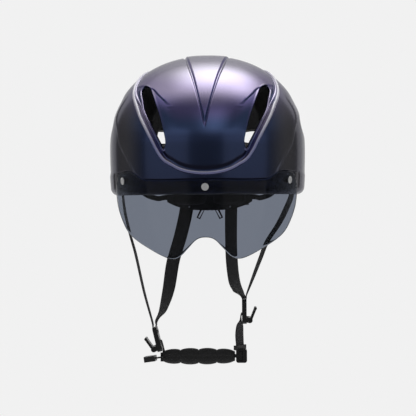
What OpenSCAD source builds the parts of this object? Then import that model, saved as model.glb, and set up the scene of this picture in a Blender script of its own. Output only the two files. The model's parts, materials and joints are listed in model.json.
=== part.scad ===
// Bicycle helmet with a magnetic wrap-round visor, a dial-fitted head ring and a chin strap.
// Millimetres. The wearer faces -Y, +Z is up, and the origin is the middle of the head opening
// at the height of the shell's rim. Azimuths are degrees from the front (-Y) towards +X.

/* [Shell] */
// Outside width of the helmet
shell_w = 215; // [208:1:222]
// Reach of the shell in front of the origin
front_reach = 138; // [134:1:144]
// Reach of the tail behind the origin
rear_reach = 150; // [146:1:156]
// Height of the crown above the origin
crown_h = 151; // [147:1:158]
// Height of the widest section above the origin
waist_h = 50; // [46:1:54]
// Thickness of the moulded shells
shell_t = 1.8; // [1.4:0.1:2.2]
// Radius where the shell turns under at the rim
hem_r = 6; // [5:0.5:7]
// Width of the lip that turns in under the foam
lip_w = 2; // [1:0.5:3]
// Height of the bead round the crown panel
bead_h = 1.6; // [1:0.1:2.2]
// Width of the bead round the crown panel
bead_w = 3.2; // [2.4:0.2:4]
// Depth of the valley that the front vents lie in
valley_d = 3; // [1:0.5:4]

/* [Head opening] */
// Inside width of the foam
head_w = 164; // [158:1:168]
// Room in front of the origin
head_front = 100; // [96:1:103]
// Room behind the origin
head_rear = 104; // [100:1:106]
// Height of the head room
head_h = 124; // [120:1:126]
// Thickness of the comfort pads
pad_t = 5; // [3:0.5:6]

/* [Visor] */
// Thickness of the lens
lens_t = 2; // [1.6:0.1:2.4]
// Half of the angle that the lens wraps round the brow
lens_span = 64; // [62:1:66]
// Gap between the lens and the shell, where the magnets sit
magnet_gap = 1.4; // [1.2:0.1:1.8]
// Diameter of the magnets
magnet_d = 12; // [10:0.5:13]
// Diameter of the metal stud heads
stud_d = 8.2; // [7:0.2:9]
// Diameter of the stud shanks
shank_d = 3.4; // [2.6:0.2:4]

/* [Straps] */
// Width of the webbing
web_w = 16; // [14:0.5:16.5]
// Thickness of the webbing
web_t = 1.4; // [1.2:0.1:1.8]
// Length of the chin pad
chin_l = 77; // [70:1:84]
// Number of lobes along the chin pad
chin_lobes = 4; // [3:1:6]
// Height of the chin pad between two lobes
chin_h = 13.4; // [13:0.2:16]
// Thickness of the chin pad
chin_t = 9.4; // [8:0.2:11]

/* [Fit dial] */
// Diameter of the knob
knob_d = 32; // [28:1:33]
// Thickness of the knob
knob_t = 9; // [7:0.5:11]
// Number of teeth on the pinion
pinion_teeth = 10; // [9:1:11]
// Gear module of pinion and racks
gear_m = 0.9; // [0.85:0.05:1]
// Thickness of the racks
rack_t = 1.6; // [1.4:0.1:1.8]
// Height of the ring arms
arm_h = 6; // [5:0.5:7]

/* [Hidden] */

// Clearances
skin_gap = 0.25;     // between a shell and the foam behind it
seat_gap = 0.3;      // between two pieces that sit on each other
run_gap = 0.05;      // radial clearance of a pin in its hole
slot_gap = 0.4;      // round webbing in a slot

// Shape of the outer skin
front_n = 1.9;       // exponent of the brow's profile
side_n = 2.15;       // exponent of the profile over the ears
rear_n = 2.35;       // exponent of the tail's profile
plan_n = 2.2;        // exponent of the outline seen from above
side_tuck = 160;     // half height of the curve that draws the sides in below the waist
rear_tuck = 105;     // the same at the tail
crown_shift = 10;    // how far the crown lies behind the origin
columns = 60;        // facets round the helmet
step = 360 / columns;

// Height of the rim by azimuth
rim_line = [[0, -2], [60, 0], [100, 3], [135, 7], [160, 14], [180, 17]];
// Bead round the crown panel: azimuth, and place down the skin (0 crown, 1 waist, 2 rim)
bead_line = [
    [0, 1.6], [11, 1.54], [20, 1.39], [26, 1.2], [32, 0.97], [38, 0.85], [47, 0.73], [59, 0.6],
    [69, 0.5], [79, 0.43], [90, 0.39], [120, 0.41], [150, 0.55], [165, 0.7], [180, 0.78]
];
// Height of the ledge above the visor by azimuth
ledge_line = [[0, 14], [34, 14.5], [42, 21], [50, 24], [66, 24], [90, 24], [180, 32]];
ledge_end = [66, 72]; // azimuths between which the visor's recess fades out

recess = lens_t + magnet_gap; // depth of the visor's recess, so that the lens lies flush

// Plain helpers
function lerp(a, b, t) = a + (b - a) * t;
function clamp01(t) = max(0, min(1, t));
function ease(t) = let (c = clamp01(t)) c * c * (3 - 2 * c);
function folded(th) = let (m = (th % 360 + 360) % 360) m > 180 ? 360 - m : m;
function power(v, e) = sign(v) * pow(abs(v), e);
function unit(v) = v / norm(v);

// Smooth curve through a table of rows [x, value, ...], flat at both ends
function span_of(t, x, i = 0) = i >= len(t) - 2 || x < t[i + 1][0] ? i : span_of(t, x, i + 1);
function slope(t, i, c) =
    i <= 0 || i >= len(t) - 1 ? 0 : (t[i + 1][c] - t[i - 1][c]) / (t[i + 1][0] - t[i - 1][0]);
function curve(t, x, c = 1) =
    let (
        i = span_of(t, x),
        h = t[i + 1][0] - t[i][0],
        u = clamp01((x - t[i][0]) / h)
    )
    t[i][c] * (2 * u ^ 3 - 3 * u ^ 2 + 1) + slope(t, i, c) * h * (u ^ 3 - 2 * u ^ 2 + u)
    + t[i + 1][c] * (3 * u ^ 2 - 2 * u ^ 3) + slope(t, i + 1, c) * h * (u ^ 3 - u ^ 2);

// Outer skin, before the shell's own relief: azimuth th and place s (0 crown, 1 waist, 2 rim)
function rim_z(th) = curve(rim_line, folded(th));
function profile_n(th) = lerp(side_n, cos(th) > 0 ? front_n : rear_n, cos(th) ^ 2);
function tuck(th) = cos(th) > 0 ? side_tuck : lerp(side_tuck, rear_tuck, cos(th) ^ 2);
function skin_z(th, s) =
    s <= 1 ? waist_h + (crown_h - waist_h) * pow(sin(90 * (1 - s)), 2 / profile_n(th))
           : lerp(waist_h, rim_z(th), s - 1);
function skin_k(th, s) =
    s <= 1 ? pow(cos(90 * (1 - s)), 2 / profile_n(th))
           : sqrt(1 - ((waist_h - skin_z(th, s)) / tuck(th)) ^ 2);
function plan(th, k) = [
    shell_w / 2 * k * power(sin(th), 2 / plan_n),
    -(cos(th) > 0 ? front_reach : rear_reach) * k * power(cos(th), 2 / plan_n)
];
function skin(th, s) =
    let (z = skin_z(th, s), p = plan(th, skin_k(th, s)))
    [p[0], p[1] + crown_shift * ease((z - waist_h) / (crown_h - waist_h)), z];
function skin_normal(th, s) =
    s < 0.01 ? [0, 0, 1]
             : unit(cross(skin(th, s + 0.004) - skin(th, s - 0.004), skin(th + 0.4, s) - skin(th - 0.4, s)));
function s_at(th, z) =
    z > waist_h ? 1 - asin(pow((z - waist_h) / (crown_h - waist_h), profile_n(th) / 2)) / 90
                : 1 + (waist_h - z) / (waist_h - rim_z(th));

// Places on the skin by w: 0 crown, 1 bead, 2 ledge above the visor, 3 where the hem starts
function bead_s(th) = curve(bead_line, folded(th));
function ledge_s(th) = s_at(th, curve(ledge_line, folded(th)));
function hem_s(th) = s_at(th, rim_z(th) + hem_r);
function place_s(th, w) =
    w <= 1 ? bead_s(th) * w
  : w <= 2 ? lerp(bead_s(th), ledge_s(th), w - 1)
           : lerp(ledge_s(th), hem_s(th), w - 2);

// Relief that every layer of the shell follows: the vents' valley and the visor's recess
function valley(th, w) =
    let (f = folded(th), along = ease((f - 14) / 18) * (1 - ease((f - 44) / 24)))
    -valley_d * along * ease((w - 0.58) / 0.22) * ease((0.975 - w) / 0.1);
function visor_recess(th) =
    -recess * (1 - ease((folded(th) - ledge_end[0]) / (ledge_end[1] - ledge_end[0])));
function layer(th, w, off) =
    let (s = place_s(th, w), relief = w < 1 ? valley(th, w) : w > 2 ? visor_recess(th) : 0)
    skin(th, s) + (off + relief) * skin_normal(th, s);

// Rows of the shell's grid, as places w, and the vents, which are windows in the grid. The rows and
// columns next to a vent bend to its outline. row and col are the first and last line of a window.
rows = [
    0.05, 0.2, 0.36, 0.5, 0.6, 0.68, 0.77, 0.86, 0.94,
    1.002, 1.12, 1.24, 1.33, 1.41, 1.48, 1.62, 1.8, 1.98, 2.05, 2.5, 3
];
crown_last = 8;  // last row of the crown shell
VENT_ROW = 0;
VENT_COL = 1;
VENT_ROOM = 2;   // first and last line of the window in the head room, counted from the waist
VENT_KIND = 3;
vents = [
    [[5, 8], [4, 8], [0, 3], "front"],
    [[12, 14], [14, 21], [1, 3], "side"],
    [[12, 14], [23, 27], [0, 2], "rear"]
];
front_vent_mid = [34.5, 0.82, 13.5, 0.12]; // azimuth, place w, half span in degrees and half span in w
front_vent_lean = 0.0038;                  // how much w grows along it, per degree
side_vent_mid = [106, 74, 19, 6.5]; // azimuth, height, half span in degrees and half height
rear_vent_mid = [150, 68, 11.5, 7];
function on_edge(v, j, i) =
    j >= v[VENT_ROW][0] && j <= v[VENT_ROW][1] && i >= v[VENT_COL][0] && i <= v[VENT_COL][1]
    && (j == v[VENT_ROW][0] || j == v[VENT_ROW][1] || i == v[VENT_COL][0] || i == v[VENT_COL][1]);
function bearing(row, col, j, i) = // direction of a grid point from the middle of its window
    atan2((j - row[0]) / (row[1] - row[0]) * 2 - 1, (i - col[0]) / (col[1] - col[0]) * 2 - 1);
function oval(m, a) = [m[0] + m[2] * power(cos(a), 0.7), m[1] - m[3] * power(sin(a), 0.7)];
function vent_edge(kind, a) = // azimuth and place w of a point on a vent's outline
    let (m = kind == "front" ? front_vent_mid : kind == "side" ? side_vent_mid : rear_vent_mid)
    kind == "front"
        ? let (th = m[0] + m[2] * cos(a)) [th, m[1] + m[3] * sin(a) + front_vent_lean * (th - m[0])]
        : let (q = oval(m, a)) [q[0], w_of(q[0], s_at(q[0], q[1]))];
function w_of(th, s) =
    s <= bead_s(th) ? s / bead_s(th) : 1 + (s - bead_s(th)) / (ledge_s(th) - bead_s(th));
function half_point(j, i, off) =
    let (v = [for (v = vents) if (on_edge(v, j, i)) v])
    len(v) == 0 ? layer(i * step, rows[j], off)
                : let (q = vent_edge(v[0][VENT_KIND], bearing(v[0][VENT_ROW], v[0][VENT_COL], j, i)))
                  layer(q[0], q[1], off);
function flip(p) = [-p[0], p[1], p[2]];
function shell_point(j, i, off) =
    i > columns / 2 ? flip(half_point(j, columns - i, off)) : half_point(j, i, off);
function shell_ring(j, off) = [for (i = [0:columns - 1]) shell_point(j, i, off)];
function layer_ring(w, off) = [for (i = [0:columns - 1]) layer(i * step, w, off)];

// Hem: the shell turns under at the rim with its radius, then runs in as a lip
function outward(th) = let (n = skin_normal(th, hem_s(th))) unit([n[0], n[1], 0]);
function hem(th, turn, off, lip = 0) =
    let (n = outward(th), p = layer(th, 3, 0), c = [p[0], p[1], rim_z(th) + hem_r] - hem_r * n)
    c + (hem_r + off) * (cos(turn) * n - [0, 0, sin(turn)]) - lip * n;
function hem_ring(turn, off, lip = 0) = [for (i = [0:columns - 1]) hem(i * step, turn, off, lip)];

// Head room: the foam's inner face, turn 0 at its widest and 90 at its top, rise below that
head_waist = 35;
room_n = 2.2;      // exponent of the head room's roundness
channel_at = [14, 166]; // azimuths of the air channels that run up the roof
channel_d = 6;
function channel(th, turn) =
    let (f = folded(th), side = min(abs(f - channel_at[0]), abs(f - channel_at[1])))
    channel_d * ease((9 - side) / 5) * ease((turn - 8) / 20) * ease((78 - turn) / 12);
function room(th, turn, off = 0) =
    let (
        k = pow(cos(turn), 2 / room_n),
        a = head_w / 2 + off,
        b = (cos(th) > 0 ? head_front : head_rear) + off
    )
    [
        a * k * power(sin(th), 2 / plan_n), -b * k * power(cos(th), 2 / plan_n),
        head_waist + (head_h + off - head_waist) * pow(sin(turn), 2 / room_n)
    ];
function room_wall(th, z, off = 0) = let (p = room(th, 0, off)) [p[0], p[1], z]; // below its waist
turns = [0, 15, 30, 44, 57, 69, 79, 87];
function half_room(j, i) =
    let (v = [for (v = vents) if (on_window(v, j, i)) v])
    len(v) == 0 ? room(i * step, turns[j], channel(i * step, turns[j]))
                : let (
                    row = v[0][VENT_ROOM], col = v[0][VENT_COL], a = bearing(row, col, j, i),
                    u = (1 + round_in(cos(a))) / 2, t = (1 + round_in(sin(a))) / 2
                  )
                  room(lerp(col[0], col[1], u) * step, lerp(turns[row[0]], turns[row[1]], t));
function round_in(v) = max(-1, min(1, 1.22 * v)); // takes the corners off a window
function on_window(v, j, i) = on_edge([v[VENT_ROOM], v[VENT_COL]], j, i);
function room_ring(j) =
    [for (i = [0:columns - 1]) i > columns / 2 ? flip(half_room(j, columns - i)) : half_room(j, i)];

// Solid from rings of points. looped joins the last ring to the first. Otherwise both ends close
// with a flat or pointed fan. Each window is [outer rows, inner rows, columns], and joins an opening
// between two outer rings to one between two inner rings. From the ring turned on, cells split along
// their other diagonal, so that the inside of a shell runs parallel to its outside.
module rings(stack, looped = false, windows = [], turned = 1000) {
    n = len(stack[0]);
    m = len(stack);
    points = concat([for (r = stack) each r], looped ? [] : [mean(stack[0]), mean(stack[m - 1])]);
    quads = [
        for (j = [0:looped ? m - 1 : m - 2], i = [0:n - 1])
            let (a = j * n + i, b = j * n + (i + 1) % n, k = ((j + 1) % m) * n,
                 c = k + (i + 1) % n, d = k + i)
            if (!open_cell(windows, j, i)) each j < turned ? [[a, b, c], [a, c, d]] : [[a, b, d], [b, c, d]]
    ];
    walls = [
        for (w = windows)
            let (p = window_loop(w[0], w[2]), q = window_loop(w[1], w[2]), last = len(p) - 1)
            for (k = [0:last])
                let (l = k == last ? 0 : k + 1,
                     a = p[k] * [n, 1], b = p[l] * [n, 1], c = q[l] * [n, 1], d = q[k] * [n, 1])
                each [[a, b, c], [a, c, d]]
    ];
    caps = looped ? [] : [
        for (i = [0:n - 1])
            each [[n * m, (i + 1) % n, i], [n * m + 1, (m - 1) * n + i, (m - 1) * n + (i + 1) % n]]
    ];
    polyhedron(points, concat(quads, walls, caps), convexity = 10);
}
function open_cell(windows, j, i) =
    len([
        for (w = windows, row = [w[0], w[1]])
            if (j >= min(row) && j < max(row) && i >= w[2][0] && i < w[2][1]) 1
    ]) > 0;
function window_loop(row, col) = let (d = row[1] > row[0] ? 1 : -1) concat(
    [for (i = [col[0]:col[1] - 1]) [row[0], i]], [for (j = [row[0]:d:row[1] - d]) [j, col[1]]],
    [for (i = [col[1]:-1:col[0] + 1]) [row[1], i]], [for (j = [row[1]:-d:row[0] + d]) [j, col[0]]]
);
function both_sides(col) = [col, [columns - col[1], columns - col[0]]];
function mean(r) = [for (k = [0:2]) sum([for (p = r) p[k]]) / len(r)];
function sum(v) = v * [for (i = [1:len(v)]) 1];

// Flat band swept along hand-placed stations [x, y, z, turn]. turn is the direction that the
// band's width faces: degrees from +X towards +Y.
function dense(route, cuts) = [
    for (i = [0:len(route) - 2], k = [0:cuts - 1]) station(route, i, k / cuts),
    route[len(route) - 1]
];
function station(r, i, u) =
    let (p0 = r[max(i - 1, 0)], p1 = r[i], p2 = r[i + 1], p3 = r[min(i + 2, len(r) - 1)])
    0.5 * (2 * p1 + (p2 - p0) * u + (2 * p0 - 5 * p1 + 4 * p2 - p3) * u ^ 2
        + (3 * p1 - p0 - 3 * p2 + p3) * u ^ 3);
function head3(p) = [p[0], p[1], p[2]];
function heading(d, i) = unit(head3(d[min(i + 1, len(d) - 1)]) - head3(d[max(i - 1, 0)]));
function flat_width(t, turn) = let (w = [cos(turn), sin(turn), 0]) unit(w - (w * t) * t);
module band(route, w, t, cuts = 4) {
    d = dense(route, cuts);
    rings([
        for (i = [0:len(d) - 1])
            let (h = heading(d, i), wide = flat_width(h, d[i][3]) * w / 2, thick = cross(h, wide) / w * t,
                 p = head3(d[i]))
            [p - wide - thick, p - wide + thick, p + wide + thick, p + wide - thick]
    ]);
}

// Turns a child's +Z to the direction n and moves it to p, with its +X as near level as it can be
module aim(p, n) {
    z = unit(n);
    x = unit(cross([0, 0, 1], z));
    y = cross(z, x);
    multmatrix([
        [x[0], y[0], z[0], p[0]], [x[1], y[1], z[1], p[1]], [x[2], y[2], z[2], p[2]], [0, 0, 0, 1]
    ]) children();
}
module both() {
    children();
    mirror([1, 0, 0]) children();
}

// Crown and side shells
function bead_place(th, d) =
    1 - d / norm(skin(th, bead_s(th)) - skin(th, bead_s(th) - 0.02)) * 0.02 / bead_s(th);
function bead_ring(d, off) = [for (i = [0:columns - 1]) layer(i * step, bead_place(i * step, d), off)];

module crown_shell() {
    bead = [
        bead_ring(bead_w + 1.6, -0.5), bead_ring(bead_w, 0.2), bead_ring(bead_w * 0.6, bead_h),
        bead_ring(seat_gap + 0.3, bead_h * 0.8), bead_ring(seat_gap, 0), bead_ring(seat_gap, -shell_t)
    ];
    last = 2 * crown_last + len(bead) + 1;
    color([0.32, 0.28, 0.48])
    rings(
        concat(
            [for (j = [0:crown_last]) shell_ring(j, 0)], bead,
            [for (j = [crown_last:-1:0]) shell_ring(j, -shell_t)]
        ),
        windows = [
            for (v = vents) if (v[VENT_ROW][1] <= crown_last) for (col = both_sides(v[VENT_COL]))
                [v[VENT_ROW], [last - v[VENT_ROW][0], last - v[VENT_ROW][1]], col]
        ],
        turned = crown_last + len(bead)
    );
}

module side_shell() {
    first = crown_last + 1;
    hem_turns = [30, 60, 90];
    stack = concat(
        [for (j = [first:len(rows) - 1]) shell_ring(j, 0)],
        [for (turn = hem_turns) hem_ring(turn, 0)],
        [hem_ring(90, 0, lip_w), hem_ring(90, -shell_t, lip_w)],
        [for (k = [len(hem_turns) - 1:-1:0]) hem_ring(hem_turns[k], -shell_t)],
        [for (j = [len(rows) - 1:-1:first]) shell_ring(j, -shell_t)]
    );
    last = len(stack) - 1 + first;
    color([0.14, 0.14, 0.2])
    difference() {
        rings(stack, looped = true, windows = [
            for (v = vents) if (v[VENT_ROW][0] > crown_last) for (col = both_sides(v[VENT_COL]))
                [v[VENT_ROW] - first * [1, 1], [last - v[VENT_ROW][0], last - v[VENT_ROW][1]], col]
        ], turned = len(rows) - first + len(hem_turns) + 1);
        magnet_places() translate([0, 0, -shell_t - 1])
            cylinder(d = magnet_d + 2 * seat_gap, h = shell_t + 2, $fn = 48);
    }
}

// Foam liner
floor_h = 8;        // height over the rim where the head room's wall starts
foam_lip = 2;       // how far the foam's underside runs in past the shell's lip
foam_edge = [2, 3.5]; // rise and inset of the foam's rounded lower edge
module foam_liner() {
    out = -shell_t - skin_gap;
    stack = concat(
        [for (j = [0:len(rows) - 1]) shell_ring(j, out)],
        [for (turn = [30, 60, 90]) hem_ring(turn, out)],
        [hem_ring(90, out, lip_w + foam_lip)],
        [[for (i = [0:columns - 1]) room_wall(i * step, rim_z(i * step) + foam_edge[0], foam_edge[1])]],
        [[for (i = [0:columns - 1]) room_wall(i * step, rim_z(i * step) + floor_h)]],
        [for (j = [0:len(turns) - 1]) room_ring(j)]
    );
    waist_row = len(stack) - len(turns);
    color([0.1, 0.1, 0.11])
    difference() {
        rings(stack, windows = [
            for (v = vents) for (col = both_sides(v[VENT_COL]))
                [v[VENT_ROW], [waist_row + v[VENT_ROOM][1], waist_row + v[VENT_ROOM][0]], col]
        ]);
        both() pocket(front_anchor);
        both() pocket(rear_anchor);
        both() plug_hole();
        both() hanger_pocket();
    }
}

// Comfort pads, which follow the head room's wall
module wall_pad(from, to, low, high, off) {
    n = ceil((to - from) / 5);
    rings([
        for (i = [0:n])
            let (
                th = lerp(from, to, i / n), e = sin(180 * i / n), mid = (low + high) / 2,
                half = (high - low) / 2 * (0.55 + 0.45 * pow(e, 0.4)), t = pad_t * (0.5 + 0.5 * pow(e, 0.4))
            )
            [room_wall(th, mid - half, -off), room_wall(th, mid + half, -off),
             room_wall(th, mid + half * 0.86, -off - t * 0.8), room_wall(th, mid, -off - t),
             room_wall(th, mid - half * 0.86, -off - t * 0.8)]
    ]);
}
module brow_pad() {
    color([0.09, 0.09, 0.1]) wall_pad(-42, 42, 10, 30, seat_gap);
}
module temple_pad() {
    color([0.09, 0.09, 0.1]) wall_pad(76, 108, 19, 34, seat_gap);
}
module crown_pad() {
    color([0.09, 0.09, 0.1])
    rings([
        for (i = [0:10])
            let (
                a = lerp(62, 118, i / 10), e = pow(sin(180 * i / 10), 0.4),
                half = 9 + 7 * e, t = pad_t * (0.5 + 0.5 * e),
                th = a < 90 ? 0 : 180, turn = a < 90 ? a : 180 - a
            )
            [for (q = [[-0.86, 0.8], [0, 1], [0.86, 0.8], [1, 0], [-1, 0]])
                let (r = room(th, turn, -seat_gap - 1.2 - q[1] * t)) [q[0] * half, r[1], r[2]]]
    ]);
}

// Visor: a wrap-round lens that lies in the shell's recess on three magnets
lens_top = [[0, 12], [35, 12.4], [42, 19], [48, 21.6], [56, 21], [61, 16.5], [64, 8]];
lens_low = [
    [0, -45.8], [4, -48], [8.5, -56.5], [13, -64.6], [17.5, -67.8], [23, -66], [34, -57.6], [48, -46],
    [54.5, -38.5], [61, -26], [64, -15]
];
lens_lean = 0.0009; // share by which the lens draws in per millimetre below the rim
lens_cols = 40;
function lens_s(th, z) = s_at(th, max(z, 0));
function lens_point(th, z, off) =
    let (s = lens_s(th, z), q = skin(th, s), n = skin_normal(th, s), k = 1 + lens_lean * min(z, 0),
         p = q + (off - recess + magnet_gap) * n)
    [p[0] * k, p[1] * k, z];
function lens_edge(t, th) = curve(t, folded(th) * 64 / lens_span);
module visor_lens() {
    color([0.3, 0.33, 0.38, 0.6])
    difference() {
        rings([
            for (i = [0:lens_cols])
                let (th = lerp(-lens_span, lens_span, i / lens_cols), hi = lens_edge(lens_top, th),
                     lo = lens_edge(lens_low, th), n = 5)
                concat([for (k = [0:n]) lens_point(th, lerp(hi, lo, k / n), 0)],
                       [for (k = [n:-1:0]) lens_point(th, lerp(hi, lo, k / n), lens_t)])
        ]);
        stud_places() translate([0, 0, -4]) cylinder(d = shank_d + 2 * seat_gap, h = 8, $fn = 32);
    }
}
stud_spots = [[0, 5.6], [53.5, 12.9], [-53.5, 12.9]]; // azimuth and height of each magnet
module stud_places() {
    for (q = stud_spots)
        let (s = s_at(q[0], q[1]), n = skin_normal(q[0], s))
            aim(skin(q[0], s) + (magnet_gap - recess) * n, n) children();
}
module magnet_places() {
    for (q = stud_spots)
        let (s = s_at(q[0], q[1]), n = skin_normal(q[0], s)) aim(skin(q[0], s) - recess * n, n) children();
}
module visor_studs() {
    color([0.8, 0.8, 0.82])
    stud_places() rotate_extrude($fn = 48) polygon([
        [0, -0.3], [shank_d / 2, -0.3], [shank_d / 2, lens_t + 0.35], [stud_d / 2, lens_t + 0.35],
        [stud_d / 2, lens_t + 0.9], [stud_d / 2 - 0.9, lens_t + 1.7], [1.6, lens_t + 2], [1.4, lens_t + 1.4],
        [0, lens_t + 1.4]
    ]);
}
module visor_magnets() {
    color([0.5, 0.5, 0.52])
    stud_places() translate([0, 0, -magnet_gap + seat_gap])
        cylinder(d = magnet_d, h = magnet_gap - seat_gap - 0.4, $fn = 48);
}
module shell_magnets() {
    color([0.5, 0.5, 0.52])
    magnet_places() translate([0, 0, -shell_t]) cylinder(d = magnet_d, h = shell_t - 0.1, $fn = 48);
}

// Places of the anchors that hold the straps' upper ends: x, y, underside, turn. The front straps
// pass just inside the rim's lip.
lip_clear = 1.04;
front_anchor = [hem(77, 90, 0, lip_w)[0] - web_t / 2 - lip_clear, -26, 6, 90];
rear_anchor = [26.5, 113, 22, 0];

// Routes of the webbing: hand-placed stations [x, y, z, turn]. Right is the wearer's right, at -X.
front_right_route = [
    [-front_anchor[0], -26, 12, 90], [-front_anchor[0], -26, -2, 90], [-89.6, -25, -19.6, 88], [-83.8, -23, -42, 87],
    [-77.2, -20, -66, 86], [-69.4, -14, -106, 87], [-62.2, -9, -138, 90], [-60.9, -8.1, -145, 90]
];
front_left_route = [
    [front_anchor[0], -26, 12, 90], [front_anchor[0] - 0.5, -26, -2, 90], [84.8, -25, -18, 100], [76.6, -23, -34, 104],
    [64, -20, -53.5, 104], [56.9, -17, -71, 102], [48.8, -12, -92, 98], [43, -9, -107, 92],
    [41.5, -8.1, -111.5, 90], [41.2, -8, -114.8, 90]
];
rear_right_route = [
    [-26.5, 113, 28, 0], [-26.4, 112.5, 10, 0], [-26.8, 109, -16, 0], [-31.5, 88, -46, -8],
    [-40.3, 57, -76, -20], [-45.4, 28, -107, -34], [-50.4, 8, -128, -62],
    [-55.4, -5, -137.5, -84], [-57, -7.8, -141.3, -90], [-57.5, -8, -144.5, -90]
];
rear_left_route = [
    [26.5, 113, 28, 0], [26, 112.5, 10, 0], [25.4, 107, -20, 0], [25.2, 82, -52, 14], [26, 56, -76, 22],
    [29.2, 32, -92, 40], [34.2, 9, -101.6, 68], [37, -5, -106.4, 88], [37.5, -7.8, -110.6, 90],
    [37.7, -8, -114.8, 90]
];
lower_left_route = [
    [36.4, -8, -131, 90], [35.3, -8, -134, 90], [35.1, -8, -141, 89], [34.6, -8.3, -147, 76],
    [34, -8.8, -155, 60], [34, -9, -167.6, 60]
];
module webbing(route, cuts = 3) {
    color([0.08, 0.08, 0.09]) band(route, web_w, web_t, cuts);
}

// Anchors that hold the straps' upper ends in the foam
anchor_size = [web_w + 6, 5, 10];
anchor_roof = 2;   // solid top over the webbing's end
module at_anchor(q) {
    translate([q[0], q[1], q[2]]) rotate(q[3]) children();
}
module pocket(q) {
    w = anchor_size + 2 * seat_gap * [1, 1, 1];
    drop = q[2] + anchor_size[2]; // deep enough to leave the foam at the rim
    at_anchor(q) translate([-w[0] / 2, -w[1] / 2, -drop])
        cube([w[0], w[1], drop + anchor_size[2] + seat_gap]);
}
module anchor(q) {
    slot = [web_w + 2 * slot_gap + 1.2, web_t + 2 * slot_gap];
    color([0.2, 0.2, 0.21])
    at_anchor(q) difference() {
        translate([-anchor_size[0] / 2, -anchor_size[1] / 2, 0]) cube(anchor_size);
        translate([-slot[0] / 2, -slot[1] / 2, -1])
            cube([slot[0], slot[1], anchor_size[2] + 1 - anchor_roof]);
    }
}

// Head ring: two flexible arms from a snap plug at each temple to a rack in the dial's case
case_y = head_rear - 6;    // inner face of the gear case
case_w = 56;
case_h = 28;
case_wall = 1.6;           // how far the case starts behind the cradle's plate
shaft_d = 6;
drive_d = 5;               // end of the shaft, with two flats, that turns the knob
drive_flat = 4;            // across the flats
drive_l = 5;
knob_gap = 0.6;            // between the case and the knob
screw_d = 2.2;
screw_hole = 2.4;
screw_head = [4.2, 1.2];   // diameter and height
screw_inset = [4, 2.6];    // from the case's corners
dial_z = -3;               // height of the dial's axis
pinion_r = gear_m * pinion_teeth / 2;
rack_y = case_y + 2.4;     // near face of the racks
run_space = 0.5;           // room behind the racks, up to the case
rack_end = 46;             // how far the racks reach from the middle
ring_in = 5;               // gap between the arms and the foam
plug_at = [66, 14];        // azimuth and height of the temple plugs
arm_t = 1.2;
plug_d = 6;
plug_l = 12;
plug_head = 9.2;
neck_d = 5;                // of the plug, where it passes through the arm
arm_route = let (p = room_wall(plug_at[0], plug_at[1], -ring_in)) [
    [p[0], p[1], p[2]],
    for (q = [[80, 11], [97, 5], [115, -1], [131, -4.5]]) room_wall(q[0], q[1], -ring_in),
    [rack_end + 9, rack_y - 7, dial_z - 0.6], [rack_end + 5, rack_y + 0.2, dial_z - 0.1],
    [rack_end, rack_y + rack_t / 2, dial_z]
];
module ring_arm() {
    color([0.12, 0.12, 0.13])
    difference() {
        upright(arm_route, arm_h, arm_t);
        plug_place() cylinder(d = neck_d + 2 * seat_gap, h = 6, center = true, $fn = 32);
    }
}
// Band whose width stays upright, along plain points
module upright(route, w, t, cuts = 4) {
    d = dense(route, cuts);
    rings([
        for (i = [0:len(d) - 1])
            let (h = heading(d, i), side = unit(cross(h, [0, 0, 1])) * t / 2,
                 up = unit(cross(side, h)) * w / 2, p = head3(d[i]))
            [p - up - side, p - up + side, p + up + side, p + up - side]
    ]);
}
module plug_place() {
    p = room_wall(plug_at[0], plug_at[1], -ring_in);
    q = room_wall(plug_at[0] + 1, plug_at[1], -ring_in);
    t = unit(q - p);
    aim(p, [t[1], -t[0], 0] * -1) children();
}
module plug_hole() {
    plug_place() translate([0, 0, -plug_l]) cylinder(d = plug_d + 2 * seat_gap, h = 2 * plug_l + 2, $fn = 32);
}
module ring_plug() {
    color([0.2, 0.2, 0.21])
    plug_place() {
        rotate_extrude($fn = 40) polygon([
            [0, -2.2], [plug_head / 2 - 0.4, -2.2], [plug_head / 2, -1.6], [plug_head / 2, -arm_t / 2 - 0.1],
            [neck_d / 2, -arm_t / 2 - 0.1], [neck_d / 2, 1], [plug_d / 2, 1], [plug_d / 2, plug_l],
            [0, plug_l]
        ]);
    }
}

// Rack and pinion of the fit dial
rack_h = 4;              // depth of the rack's back
rack_pitch = gear_m * PI;
mesh_gap = 0.12;         // play between the pinion and each rack
rack_start = -4.5 * rack_pitch; // end of the teeth beyond the pinion, with one tooth over its axis
rack_count = 11;         // teeth on a rack
tooth_tip = 0.85 * gear_m;
tooth_root = -1.15 * gear_m;
rack_tooth = [[0.8, tooth_root], [0.58, tooth_tip], [0.42, tooth_tip], [0.2, tooth_root]];
function rack_outline() = concat(
    [for (low = [rack_h, 0]) [rack_end, -pinion_r - mesh_gap + tooth_root - low]],
    [for (i = [rack_count - 1:-1:0], q = rack_tooth)
        [rack_start + (i + q[0]) * rack_pitch, -pinion_r - mesh_gap + q[1]]],
    [for (low = [0, rack_h]) [rack_start, -pinion_r - mesh_gap + tooth_root - low]]
);
module rack() {
    color([0.75, 0.75, 0.77])
    translate([0, rack_y + rack_t, 0]) rotate([90, 0, 0]) linear_extrude(rack_t) polygon(rack_outline());
}
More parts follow.
